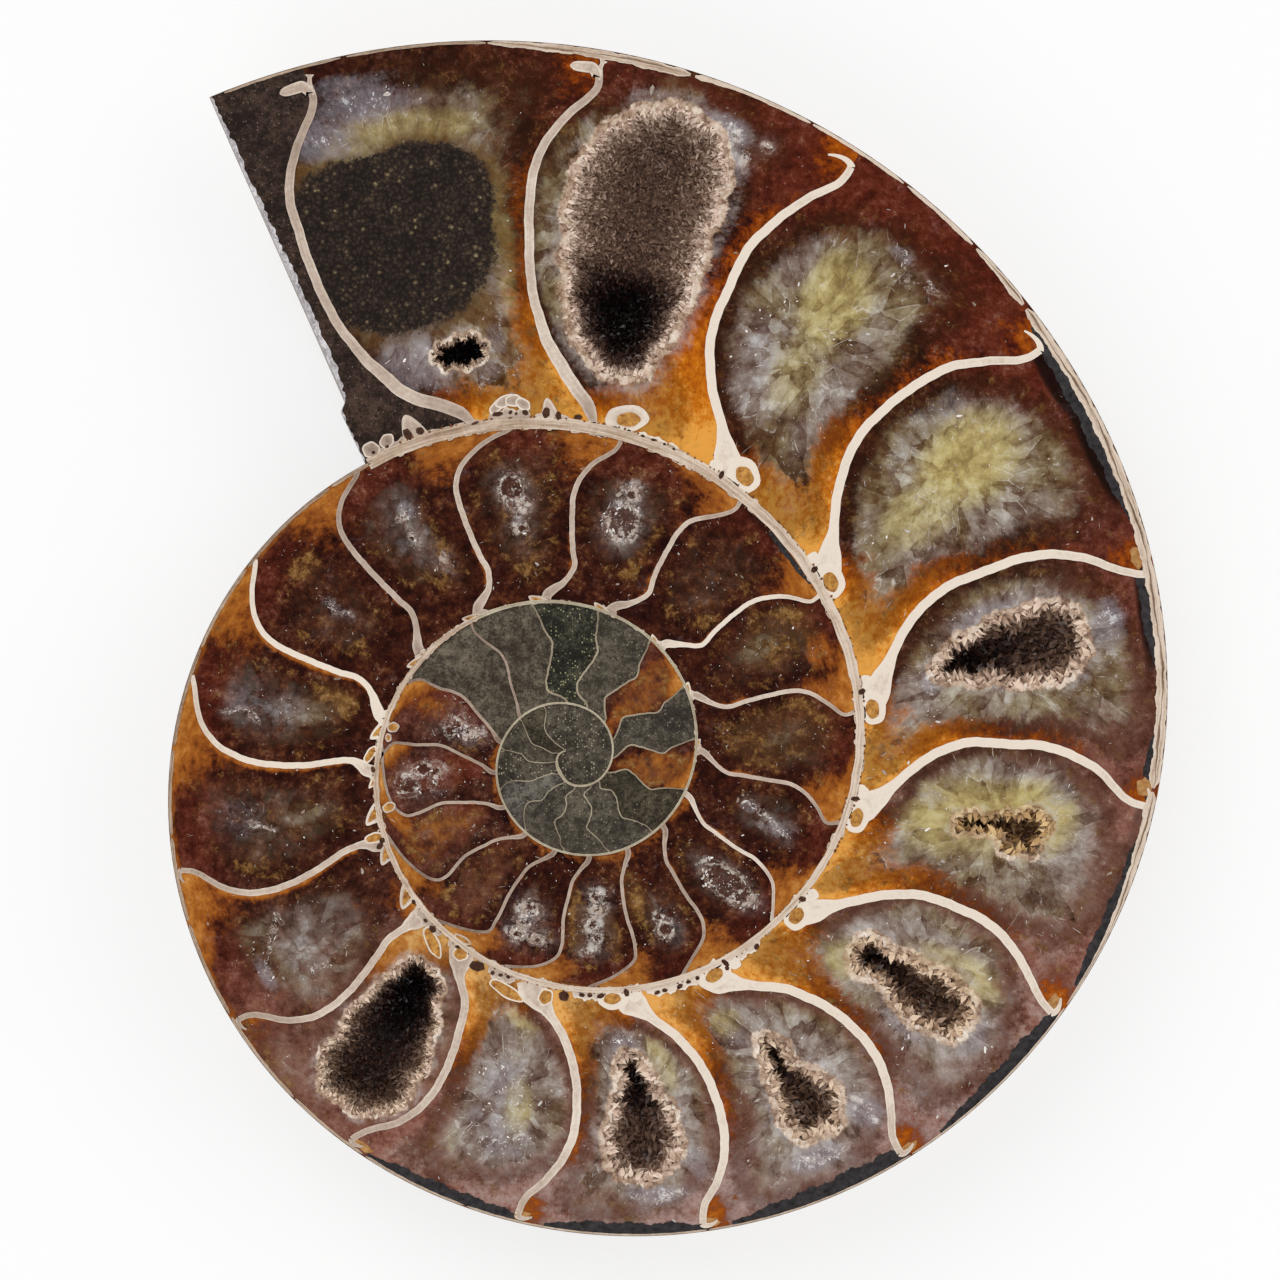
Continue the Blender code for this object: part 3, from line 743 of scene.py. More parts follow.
# Coloured places of each kind: chamber, turn, height, half sizes in degrees and in height, strength
SPOTS = {
    "white": (
        (1, 1547.5, 0.865, 5, 0.05, 0.66), (1, 1538.2, 0.36, 1.6, 0.14, 0.34),
        (1, 1551.6, 0.8, 3.2, 0.06, 0.68), (1, 1551, 0.19, 5.5, 0.08, 0.6),
        (1, 1542, 0.145, 3, 0.04, 0.6), (1, 1539.6, 0.22, 1.5, 0.05, 0.6),
        (1, 1549.5, 0.925, 5, 0.03, 0.5), (2, 1515.8, 0.88, 2.6, 0.04, 0.9),
        (2, 1514.4, 0.8, 1, 0.06, 0.7), (3, 1504.5, 0.36, 3.5, 0.16, 0.4),
        (3, 1496.5, 0.83, 1.4, 0.025, 0.7), (4, 1483, 0.52, 2, 0.16, 0.4),
        (5, 1452.5, 0.24, 2.6, 0.04, 0.8), (5, 1454, 0.82, 2.6, 0.06, 0.75),
        (5, 1459, 0.45, 1.6, 0.14, 0.65), (5, 1449, 0.7, 1.2, 0.07, 0.5), (6, 1436, 0.68, 1.6, 0.06, 0.6),
        (6, 1434, 0.26, 1.5, 0.05, 0.5), (7, 1405.5, 0.81, 2.4, 0.05, 0.6),
        (7, 1401.2, 0.6, 0.9, 0.12, 0.5), (8, 1382, 0.84, 3.4, 0.05, 0.8), (8, 1390, 0.76, 2, 0.08, 0.75),
        (8, 1380.3, 0.66, 1, 0.1, 0.7), (8, 1381.5, 0.28, 2.4, 0.06, 0.5),
        (9, 1361, 0.83, 4.2, 0.04, 0.8), (9, 1367.6, 0.72, 1.6, 0.08, 0.6),
        (9, 1360.5, 0.22, 3, 0.05, 0.7), (10, 1340.5, 0.66, 4.5, 0.12, 0.6),
        (10, 1339.5, 0.46, 4.5, 0.12, 0.65), (10, 1335.5, 0.62, 1.4, 0.06, 0.6),
        (12, 1295, 0.76, 3, 0.035, 0.7), (12, 1299.5, 0.5, 0.8, 0.14, 0.35),
        (13, 1270, 0.65, 3.5, 0.12, 0.32), (14, 1249.5, 0.6, 2.6, 0.2, 0.3),
        (15, 1226.5, 0.5, 1.2, 0.12, 0.4), (16, 1203, 0.68, 1.4, 0.06, 0.75),
        (17, 1181.5, 0.52, 1.6, 0.16, 0.4), (18, 1157.2, 0.55, 2.4, 0.16, 0.5),
        (22, 1062, 0.62, 2.6, 0.14, 0.5), (22, 1065.5, 0.42, 1.6, 0.08, 0.5),
        (23, 1042, 0.6, 3, 0.22, 0.5), (25, 999, 0.5, 1.4, 0.22, 0.4), (26, 975.5, 0.6, 3, 0.14, 0.5),
        (29, 907, 0.68, 2.2, 0.1, 0.35), (30, 884, 0.36, 2.5, 0.12, 0.4),
    ),
    "yellow": (
        (1, 1544.5, 0.79, 6, 0.05, 0.5), (1, 1551.5, 0.755, 5, 0.035, 0.45),
        (1, 1537.2, 0.48, 1.4, 0.2, 0.5), (2, 1531, 0.3, 2, 0.12, 0.3), (3, 1499.8, 0.6, 3.6, 0.14, 0.6),
        (3, 1500, 0.36, 3.2, 0.11, 0.3), (4, 1477, 0.58, 4.4, 0.17, 0.72), (4, 1475, 0.36, 4, 0.12, 0.45),
        (6, 1431.5, 0.36, 5.5, 0.18, 0.65), (6, 1432.5, 0.58, 4.5, 0.16, 0.85),
        (7, 1411, 0.6, 3, 0.2, 0.5), (7, 1405, 0.28, 4, 0.08, 0.5), (8, 1381, 0.22, 3, 0.06, 0.4),
        (9, 1367, 0.3, 2.5, 0.14, 0.4), (10, 1341.8, 0.52, 2.4, 0.12, 0.55),
        (10, 1341, 0.16, 5, 0.05, 0.4),
    ),
    "blue": (
        (1, 1549.5, 0.83, 7, 0.1, 0.9), (1, 1551, 0.17, 5, 0.1, 0.8), (2, 1530, 0.2, 3, 0.12, 0.5),
        (3, 1505, 0.3, 5, 0.16, 0.6), (3, 1493.8, 0.42, 2.4, 0.2, 0.6), (3, 1506, 0.66, 2.5, 0.12, 0.9),
        (4, 1481.5, 0.72, 4, 0.12, 0.9), (4, 1468.5, 0.6, 2.5, 0.14, 0.7),
        (4, 1470, 0.32, 3.5, 0.12, 0.5), (5, 1450, 0.16, 5, 0.08, 0.8), (5, 1459, 0.5, 2, 0.25, 0.8),
        (6, 1430.5, 0.8, 5, 0.08, 0.8), (6, 1439, 0.6, 2, 0.2, 0.6), (7, 1412, 0.45, 3, 0.2, 0.7),
        (7, 1405, 0.82, 5, 0.08, 0.8), (7, 1412, 0.2, 4, 0.1, 0.5), (8, 1390, 0.6, 3, 0.2, 0.9),
        (8, 1384, 0.26, 5, 0.12, 0.7), (8, 1385, 0.84, 6, 0.08, 0.9), (9, 1360.5, 0.2, 5, 0.1, 0.8),
        (9, 1368, 0.45, 2, 0.25, 0.6), (10, 1337, 0.5, 4, 0.28, 0.7), (10, 1344.5, 0.3, 4, 0.15, 0.5),
        (11, 1313, 0.86, 3, 0.06, 0.3), (12, 1294, 0.42, 5.5, 0.22, 1), (13, 1270, 0.68, 4, 0.14, 0.6),
        (14, 1249.5, 0.62, 5, 0.24, 0.8), (16, 1204, 0.6, 4.2, 0.26, 0.9), (17, 1181, 0.5, 3, 0.2, 0.6),
        (18, 1157, 0.5, 5.5, 0.2, 0.9), (22, 1061.5, 0.57, 5, 0.24, 1), (23, 1042, 0.5, 4, 0.3, 0.6),
        (24, 1020.5, 0.5, 3, 0.2, 0.4), (26, 974.5, 0.42, 4, 0.14, 0.6),
    ),
    "gold": (
        (13, 1272.5, 0.4, 4.5, 0.2, 0.7), (13, 1278, 0.62, 2, 0.1, 0.6), (14, 1246, 0.3, 5, 0.16, 0.7),
        (15, 1224, 0.76, 3.5, 0.1, 0.7), (15, 1228, 0.4, 7, 0.18, 0.35), (16, 1201, 0.3, 6, 0.2, 0.6),
        (17, 1181, 0.45, 8, 0.38, 0.65), (17, 1186, 0.85, 4, 0.06, 0.6), (18, 1151, 0.45, 3, 0.3, 0.5),
        (19, 1131, 0.42, 9, 0.3, 0.4), (20, 1110, 0.62, 7, 0.28, 1), (21, 1087, 0.5, 9, 0.4, 0.85),
        (21, 1079.5, 0.4, 1.4, 0.05, 1.2), (23, 1041, 0.3, 5, 0.2, 0.4), (24, 1016.5, 0.4, 5, 0.3, 0.9),
        (25, 993.5, 0.5, 4, 0.28, 1), (25, 1004, 0.55, 3, 0.22, 0.9), (27, 954, 0.5, 8, 0.4, 0.6),
        (28, 930, 0.5, 8, 0.4, 0.7), (29, 905, 0.3, 7, 0.2, 0.4), (30, 882, 0.6, 6, 0.3, 0.4),
        (35, 761, 0.5, 10, 0.5, 0.7), (37, 714, 0.5, 10, 0.5, 0.8),
    ),
    "sand": ((1, 1549.4, 0.505, 11, 0.225, 1.3), (1, 1544, 0.6, 6.4, 0.15, 1.2)),
    "dark": (
        (1, 1539, 0.9, 4, 0.05, 0.26), (3, 1495, 0.5, 1.6, 0.12, 0.3), (3, 1503.5, 0.52, 1.2, 0.07, 0.3),
        (4, 1471, 0.945, 7, 0.04, 0.9), (4, 1478, 0.93, 5, 0.03, 0.9), (5, 1454, 0.95, 6, 0.03, 0.8),
        (6, 1430, 0.955, 8.5, 0.03, 0.5), (12, 1302, 0.3, 3, 0.16, 0.38),
        (12, 1288, 0.66, 2.5, 0.08, 0.32), (15, 1226, 0.2, 8, 0.12, 0.34), (19, 1133, 0.95, 8, 0.04, 0.6),
        (19, 1130, 0.12, 9, 0.1, 0.32), (20, 1110, 0.14, 9, 0.12, 0.32), (20, 1114, 0.95, 6, 0.04, 0.4),
        (21, 1086, 0.12, 9, 0.1, 0.32), (22, 1060, 0.2, 8, 0.16, 0.36), (27, 955, 0.3, 5, 0.2, 0.3),
    ),
    "amber": (
        (20, 1103, 0.83, 5, 0.1, 0.4), (24, 1020, 0.05, 9, 0.08, 0.4), (28, 930, 0.6, 7, 0.3, 0.38),
        (30, 879, 0.66, 5, 0.2, 0.35), (35, 761, 0.5, 12, 0.6, 0.36), (37, 714, 0.5, 12, 0.6, 0.42),
    ),
    "red": (
        (27, 954, 0.5, 9, 0.4, 0.5), (28, 930, 0.5, 9, 0.4, 0.9), (29, 905, 0.4, 9, 0.4, 0.8),
        (30, 877, 0.6, 8, 0.35, 0.9), (35, 761, 0.5, 12, 0.6, 0.7), (37, 714, 0.5, 12, 0.6, 0.7),
    ),
    "grey": (
        (12, 1294, 0.5, 5.5, 0.28, 0.55), (13, 1271.5, 0.36, 2.2, 0.1, 0.4),
        (14, 1249.5, 0.42, 3, 0.16, 0.5), (16, 1203.5, 0.55, 2.4, 0.22, 0.45),
        (18, 1157, 0.5, 3.2, 0.18, 0.5), (20, 1110.5, 0.5, 2.6, 0.14, 0.35),
        (21, 1086, 0.53, 1.6, 0.1, 0.3), (22, 1062.5, 0.55, 3, 0.16, 0.4), (23, 1042, 0.6, 4, 0.26, 0.35),
        (24, 1020.5, 0.4, 1.5, 0.1, 0.3), (26, 975, 0.42, 3, 0.14, 0.35),
    ),
}
# Hollows lined with white crystals, cut through: chamber, turn, height, half sizes in mm along the
# whorl and outwards, and how thickly they are lined
VUGS = (
    (2, 1515, 0.869, 0.3, 0.28, 0.9), (2, 1513.6, 0.82, 0.26, 0.5, 0.9),
    (2, 1512, 0.883, 0.25, 0.18, 0.8), (3, 1492.2, 0.82, 0.25, 0.2, 0.7),
    (3, 1494.8, 0.782, 0.2, 0.15, 0.6), (17, 1181.9, 0.629, 0.95, 1.15, 1),
    (17, 1180.2, 0.536, 0.4, 0.45, 0.8), (17, 1181.5, 0.41, 0.5, 0.42, 1.1),
    (18, 1157.2, 0.513, 1.35, 1.6, 1.4), (18, 1156.4, 0.69, 0.55, 0.6, 0.9),
    (16, 1204.3, 0.656, 0.42, 0.26, 0.9), (16, 1205.1, 0.532, 0.2, 0.36, 0.6),
    (16, 1201.7, 0.354, 0.18, 0.34, 0.5), (23, 1042.2, 0.588, 1.15, 2.6, 1.6),
    (24, 1019.7, 0.632, 0.6, 0.75, 0.9), (24, 1020.1, 0.547, 0.3, 0.3, 0.7),
    (25, 998.6, 0.51, 0.42, 0.45, 1), (25, 999.3, 0.606, 0.36, 0.36, 0.8),
    (25, 996.5, 0.71, 0.32, 0.2, 0.7), (25, 1000.6, 0.399, 0.5, 0.34, 0.6),
    (25, 1001.6, 0.304, 0.45, 0.4, 0.5), (26, 975.8, 0.494, 0.75, 0.55, 0.9),
    (26, 974.8, 0.596, 0.5, 0.4, 0.9), (26, 974, 0.699, 0.65, 0.42, 1), (26, 980.2, 0.69, 0.55, 0.4, 0.8),
    (29, 908.9, 0.727, 0.8, 0.8, 1), (29, 903.9, 0.611, 0.55, 0.75, 0.9),
    (29, 905.2, 0.495, 0.5, 0.4, 0.8), (29, 910.5, 0.522, 0.22, 0.26, 0.8),
    (30, 885.7, 0.45, 0.45, 0.45, 0.8), (30, 882, 0.415, 0.5, 0.45, 0.9),
    (30, 884.6, 0.316, 0.5, 0.6, 1.1), (30, 883.8, 0.241, 0.32, 0.36, 0.9),
)
# White seams of crystal: chamber and the places that they pass through
SEAMS = (
    (12, ((1288.6, 0.6), (1291, 0.665), (1293, 0.7), (1295, 0.76))), (12, ((1299, 0.56), (1300.2, 0.5))),
    (12, ((1287.5, 0.6), (1289.8, 0.585))), (15, ((1226.6, 0.55), (1227.6, 0.5), (1226.4, 0.43))),
    (22, ((1060.5, 0.72), (1062.5, 0.6), (1065, 0.48), (1067, 0.4))),
    (14, ((1252, 0.78), (1251, 0.68), (1252.8, 0.6))), (13, ((1271, 0.62), (1273.5, 0.5))),
    (5, ((1450.2, 0.235), (1453, 0.225), (1456.5, 0.245))),
    (8, ((1379, 0.8), (1382.5, 0.86), (1386.5, 0.85))),
    (8, ((1390.6, 0.82), (1391.2, 0.74), (1389.8, 0.68))),
    (9, ((1358, 0.84), (1361.5, 0.86), (1364.5, 0.83))),
    (3, ((1495.6, 0.8), (1496.4, 0.84), (1497.6, 0.835))),
    (10, ((1337, 0.7), (1340.5, 0.69), (1343, 0.64))), (10, ((1338, 0.5), (1341, 0.45), (1342, 0.38))),
)

# Chambers that sediment filled before calcite could: which mix each holds
MATRIX_CHAMBERS = {
    31: "brown_matrix", 32: "brown_matrix", 33: "speckled_matrix", 34: "green_matrix", 36: "grey_matrix",
    38: "umber_matrix", 39: "grey_matrix", 40: "green_matrix", 41: "grey_matrix", 42: "pale_matrix",
    43: "inner_matrix", 44: "green_matrix", 45: "umber_matrix",
}
INNER_MATRIX = "inner_matrix"

# Open crystal pockets: outline as (turn, height); pale band, depth and crystal size in mm; count
POCKETS = {
    2: (((1519.5, 0.175), (1523, 0.15), (1526.5, 0.18), (1529.8, 0.32), (1529.9, 0.5), (1529.4, 0.64),
         (1526.8, 0.78), (1523.5, 0.855), (1520, 0.89), (1516.4, 0.85), (1514.7, 0.74), (1515.2, 0.55),
         (1515.4, 0.4), (1517.2, 0.26)), 0.9, 8.2, 0.44, 8000),
    5: (((1452, 0.745), (1455.6, 0.735), (1458, 0.66), (1458.2, 0.5), (1457.2, 0.36), (1455.2, 0.265),
         (1452.2, 0.265), (1450.9, 0.4), (1449.6, 0.52), (1449.4, 0.67)), 0.6, 4.6, 0.74, 1150),
    6: (((1428.7, 0.64), (1431, 0.67), (1433.4, 0.65), (1433.4, 0.56), (1432.6, 0.47), (1432, 0.37),
         (1429.8, 0.38), (1430.2, 0.49), (1428.3, 0.55)), 0.55, 2.4, 0.8, 260),
    7: (((1404.2, 0.75), (1407, 0.765), (1409.6, 0.68), (1410.4, 0.55), (1409.8, 0.4), (1409.2, 0.285),
         (1405.8, 0.27), (1404, 0.34), (1404.4, 0.45), (1402.8, 0.55), (1403.2, 0.67)),
        0.75, 4.2, 0.72, 1000),
    8: (((1382, 0.75), (1385.4, 0.765), (1388.6, 0.69), (1388.8, 0.58), (1387, 0.49), (1387, 0.38),
         (1385.2, 0.325), (1383.2, 0.38), (1382.2, 0.5), (1381.2, 0.6), (1380.9, 0.68)),
        0.75, 3.8, 0.76, 800),
    9: (((1357, 0.74), (1360.2, 0.775), (1364.4, 0.72), (1366.6, 0.6), (1366.1, 0.47), (1364.8, 0.37),
         (1363.9, 0.28), (1360.4, 0.27), (1358.8, 0.38), (1357.2, 0.5), (1355.8, 0.6), (1355.7, 0.69)),
        0.65, 4.6, 0.74, 1200),
    11: (((1312, 0.19), (1316, 0.15), (1319.8, 0.18), (1322.6, 0.3), (1324.4, 0.42), (1325.1, 0.55),
         (1324.6, 0.71), (1321.8, 0.82), (1317.5, 0.875), (1313.2, 0.875), (1310.5, 0.79), (1309.8, 0.65),
         (1309.5, 0.5), (1310, 0.34)), 0.42, 6.4, 0.38, 4200),
    1: (((1541.3, 0.205), (1543, 0.24), (1545, 0.235), (1548.2, 0.21), (1547.8, 0.165), (1545, 0.155),
         (1542.3, 0.165)), 0.4, 3.4, 0.27, 300),
}
# Painted shade in each open pocket: how dark it is painted at its inner wall end and at its outer wall
# end, the shares of its length where the dark end stops and fades out, and how yellow its crystals are
POCKET_SHADE = {
    2: (1.15, 0.51, 0.27, 0.16, 0), 5: (1, 0.66, 0.1, 0.6, 0.1), 6: (0.62, 0.55, 0.1, 0.6, 0.8),
    7: (0.9, 0.62, 0.1, 0.6, 0.3), 8: (0.88, 0.62, 0.1, 0.6, 0.2), 9: (1, 0.62, 0.1, 0.6, 0.05),
    11: (1.25, 0.8, 0.15, 0.5, 0.15), 1: (1.5, 1.2, 0.3, 0.6, 0.2),
}

# Loops of shell round calcite where a septum's foot meets the inner wall: turn, height, half sizes
# of the loop in mm, tilt. The septum's younger side has a web with a small hole beside it, its shade painted
# dark.
FOOT_RINGS = (
    (1520.2, 0.043, 2.05, 1.22, 8), (1498.4, 0.048, 1.75, 1.45, -14), (1474.4, 0.034, 1.75, 1.25, -8),
    (1449.8, 0.04, 1.7, 1.15, 0), (1429, 0.036, 1.55, 1.15, 0), (1406, 0.036, 1.55, 1.15, 0),
    (1384.5, 0.036, 1.5, 1.15, 0), (1360.8, 0.034, 1.45, 0.95, 0),
)
LOBE_SKIN = 0.15         # thickness of the shell round a lobe, in mm
TOOTH_ROUNDNESS = 1.9
SOLID_LOBES_FROM = 1500  # turn from which lobes are filled with grey shell
WEB_AHEAD = 4.8          # degrees from a loop to the web on the younger side
WEB_HOLE_AHEAD = 3.3
WEBS_BEFORE = 1515       # turn beyond which loops have no web
AMBER_TONE, HOLE_TONE = 0.6, 0.2
# Low mounds of shell along the inner wall: first and last turn, height in mm
FOOT_MOUNDS = (
    (1536, 1543.4, 1.25), (1543, 1549.5, 0.55), (1509.5, 1519, 0.65), (1529, 1536.5, 0.75),
    (1551, 1562.5, 0.75), (1329, 1337, 1.05), (1351, 1359.5, 0.85), (1368.5, 1382.5, 0.95),
    (1390, 1397, 0.75), (1304.6, 1314.5, 0.95), (1316.5, 1322.5, 0.7), (1280, 1286.5, 0.5),
    (1244.5, 1250, 0.55), (1262, 1266, 0.5), (1222, 1227.5, 0.5), (1198, 1205, 0.45), (1176, 1182, 0.45),
    (1151.5, 1159, 0.45), (1128.5, 1134, 0.4), (1105.5, 1111, 0.4), (1082, 1088, 0.4),
)
# Teeth of shell on the inner wall: turn, height, half width and lean of the tip in mm, and how much
# of the tooth is amber inside
FOOT_TEETH = (
    (1532.9, 2.33, 0.95, 0.25, 0), (1555.2, 2.75, 1.35, 0.1, 0), (1250.6, 1.15, 1, 0.95, 0.5),
    (1275.2, 1.5, 1, 0.85, 0.5), (1299.6, 1.7, 1, 0.8, 0.5), (1286.6, 1.3, 1, 0.9, 0.45),
    (1265.8, 0.8, 0.6, 0.7, 0.4), (1226.6, 0.85, 0.9, 0.9, 0.5), (1203.4, 0.75, 0.9, 0.9, 0.5),
    (1180, 0.8, 0.9, 0.85, 0.45), (1157, 0.7, 0.8, 0.8, 0.45), (1133, 0.6, 0.7, 0.7, 0.4),
    (1110, 0.6, 0.7, 0.6, 0.4), (1086, 0.55, 0.6, 0.6, 0.4),
)
# Lobes of shell round calcite: turn, height in the whorl, half sizes in mm, tilt
FOOT_LOBES = (
    (1541.2, 0.046, 0.95, 0.5, 35), (1540, 0.056, 0.9, 0.55, 15), (1538.6, 0.056, 0.85, 0.55, -12),
    (1537.2, 0.046, 0.8, 0.5, -35), (1562.4, 0.024, 0.85, 0.75, 0), (1559.6, 0.028, 0.7, 0.65, 15),
    (1313.4, 0.07, 1.55, 0.62, -32), (1335, 0.076, 1.75, 0.62, -14), (1321, 0.03, 0.7, 0.75, 30),
    (1344.6, 0.052, 0.75, 0.75, 25), (889.4, 0.92, 0.5, 0.55, 0), (892.9, 0.935, 0.38, 0.32, 0),
    (914.8, 0.905, 0.5, 0.6, 0), (959.6, 0.955, 0.95, 0.3, 0), (1258.4, 0.034, 0.85, 0.45, -30),
    (1281.9, 0.045, 0.5, 0.9, 0),
)
# Holes in that shell, painted dark as the shade inside them: turn, height, half sizes in mm
FOOT_HOLES = (
    (1541.5, 0.024, 0.46, 0.24), (1539.4, 0.026, 0.18, 0.18), (1538.5, 0.022, 0.14, 0.14),
    (1537, 0.024, 0.3, 0.24), (1545.4, 0.008, 0.4, 0.12), (1533.6, 0.024, 0.34, 0.52),
    (1531.6, 0.018, 0.3, 0.36), (1528.3, 0.02, 0.34, 0.26), (1554.2, 0.022, 0.34, 0.4),
    (1556.2, 0.024, 0.42, 0.52), (1562.3, 0.016, 0.18, 0.15), (1560, 0.015, 0.18, 0.15),
    (1517, 0.01, 0.2, 0.12), (1515, 0.01, 0.26, 0.14), (1513, 0.01, 0.16, 0.12),
    (1511.2, 0.008, 0.18, 0.12), (1353.4, 0.02, 0.26, 0.2), (1355.3, 0.018, 0.26, 0.2),
    (1357.9, 0.02, 0.34, 0.24), (1349, 0.033, 0.52, 0.42), (1326.2, 0.036, 0.66, 0.5),
    (1330.5, 0.03, 0.22, 0.18), (1332.6, 0.024, 0.2, 0.16), (1334.6, 0.018, 0.2, 0.16),
    (1308.4, 0.024, 0.2, 0.18), (1311.3, 0.027, 0.4, 0.26), (1319.4, 0.014, 0.22, 0.16),
    (1371, 0.028, 0.26, 0.2), (1372.8, 0.026, 0.24, 0.2), (1376.3, 0.026, 0.3, 0.22),
    (1378.5, 0.02, 0.22, 0.18), (1380.7, 0.018, 0.22, 0.18), (1387.4, 0.031, 0.22, 0.2),
    (1395.3, 0.022, 0.28, 0.24), (1283.4, 0.012, 0.24, 0.3), (1284.6, 0.03, 0.26, 0.36),
    (1262.8, 0.012, 0.3, 0.2), (1302.6, 0.012, 0.2, 0.2),
)
# Blocks of calcite at the outer wall beyond a septum's tip: turns, heights
TIP_BLOCKS = (
    (1320.5, 1323.3, 0.945, 0.985), (1343.2, 1345.3, 0.95, 0.985), (1366.2, 1368.3, 0.95, 0.985),
    (1390.2, 1392.3, 0.95, 0.985), (1412.2, 1414.4, 0.935, 0.985), (1436.2, 1438.4, 0.93, 0.975),
    (1458.7, 1460.5, 0.93, 0.975),
)
# Slate-coloured bands along the outer edge: turns, thickness in mm, where they are thickest and how
# far in they begin, in mm
SLATE_BANDS = (
    (1323, 1344.5, 1.05, 0.5, 0.16), (1347, 1367, 1.1, 0.4, 0.14), (1369.5, 1391, 1.45, 0.72, 0.14),
    (1395, 1412.5, 1.25, 0.75, 0.14), (1416, 1434, 1, 0.4, 0.3), (1436, 1442.5, 0.75, 0.5, 0.85),
    (1449, 1458.5, 1.05, 0.7, 0.9), (1463, 1483, 1.15, 0.45, 0.85),
)
INNER_SLATE = (1116, 1129, 0.50, 0.5, 0.70)

FIRST_TURN = 105.0            # the first chambers are too small to tell apart
MATRIX_BLOCK_BULGE = 1.3      # degrees that the broken foot of the last block stands out
BULGE_TOP = 0.17
SAWN_EDGE_DEPTH = 0.6         # how far down the chipped edge of the saw cut reaches, in mm
SAWN_END_INSET = 0.04
EDGE_CHIPS, EDGE_POINTS = 90, 200   # along the chipped edge
SEEDS = {"pockets": 100, "cracks": 63, "glints": 51, "vugs": 77, "sawn_edge": 91, "rim": 21, "beads": 33}


# ---- building: chambers --------------------------------------------------------------------------
def spot_weights(chamber, turn, height):
    """How much of each coloured place lies at each point."""
    weights = {kind: np.zeros_like(turn) for kind in SPOTS}
    for kind, spots in SPOTS.items():
        for home, spot_turn, spot_height, half_turn, half_height, strength in spots:
            if home == chamber:
                distance = np.hypot((turn - spot_turn) / half_turn, (height - spot_height) / half_height)
                weights[kind] = np.maximum(weights[kind], strength * smooth(1.5 - distance))
    return weights


SEAM_POINTS = 60


def seam_line(places):
    """Points along a seam, from the few places that it passes through."""
    turns, heights = np.array(places).T
    at, stops = np.linspace(0, 1, SEAM_POINTS), np.linspace(0, 1, len(turns))
    return whorl_place(np.interp(at, stops, turns), np.interp(at, stops, heights))


SEAM_LIFT = 0.10     # keeps a seam thin: it shows only where the lining strays this far, in mm
SEAM_SLOPE = 1.6     # how fast a seam fades sideways, as a multiple of a hollow's
FAR_FROM_HOLLOW, FAR_FROM_RIM = 3.0, 9.0   # values where there is no hollow or pocket near


def hollow_distance(chamber, x, y):
    """How far each point is outside the nearest small hollow, in mm: negative within it."""
    nearest = np.full_like(x, FAR_FROM_HOLLOW)
    for home, turn, height, along, outwards, _ in VUGS:
        if home == chamber:
            cx, cy = whorl_place(turn, height)
            heading = math.radians(turn + 90)
            a, b = turned(0, 0, x - cx, y - cy, -heading)
            edge = (np.hypot(a / along, b / outwards) - 1) * (along + outwards) / 2
            nearest = np.minimum(nearest, edge)
    for home, places in SEAMS:
        if home == chamber:
            for seam_x, seam_y in zip(*seam_line(places)):
                away = np.hypot(x - seam_x, y - seam_y) * SEAM_SLOPE + SEAM_LIFT
                nearest = np.minimum(nearest, away)
    return nearest


# How pale the clear calcite is at these turns: it thins and lightens along the lower right
PALE_TURNS = (860, 940, 1000, 1250, 1290, 1310, 1340, 1400, 1430, 1455, 1490, 1560)
PALENESS = (0.2, 0.2, 0, 0.05, 0.16, 0.55, 0.85, 0.92, 0.66, 0.25, 0, 0.05)


def amber_weight(turn, u, height):
    """Where amber shows: low beside the older septum near the mouth, high beside it further in."""
    outer = smooth((turn - 1288) / 24)
    low = height / (0.40 * (1 - u) ** 1.5 + 0.075)
    near_mouth = 1.20 * np.clip(1 - low / 1.40, 0, 1) ** 0.85
    wedge = np.clip(1 - u / 0.66, 0, 1)
    up = (1 - height) / (0.34 * wedge**1.1 + 0.042)
    inside = np.interp(turn, (1080, 1150), (0.86, 0.74)) * np.clip(1 - up / 1.15, 0, 1) ** 0.8
    strip = smooth((height - 0.1) / 0.05) * (1 - smooth((u - 0.02) / 0.08))
    strip *= np.where(turn > 1228, 0.70, 0.50 * (1 - smooth((height - 0.3) / 0.15)))
    foot = height / (0.10 * u + 0.02)
    young = 0.42 * (1 - smooth((foot - 0.3) / 0.9)) * (turn < 1075)
    inside = np.maximum(np.maximum(inside, strip), young)
    side = 0.42 * (1 - smooth(u / 0.2)) * (1 - smooth((height - 0.62) / 0.3)) * (turn > 1330)
    tip = smooth((height - 0.80) / 0.14) * (1 - smooth((u - 0.04) / 0.22)) * 0.5 * (turn > 1330)
    return np.maximum(outer * near_mouth + (1 - outer) * inside, np.maximum(tip, side))


# How milky the amber is at these turns
MILKY_TURNS = (860, 1000, 1080, 1200, 1300, 1350, 1390, 1430, 1470, 1560)
MILKINESS = (0.6, 0.7, 0.5, 0.6, 0.5, 0.28, 0.12, 0.08, 0.05, 0)
# How red the clear calcite is under the outer wall at these turns
RED_TURNS = (1200, 1300, 1440, 1515, 1545)
REDNESS = (0.5, 0.7, 1.0, 0.9, 0.15)
EDGE_GOLD = 0.62     # golden haze under the outer wall, between these turns
EDGE_GOLD_TURNS = (850, 1310)


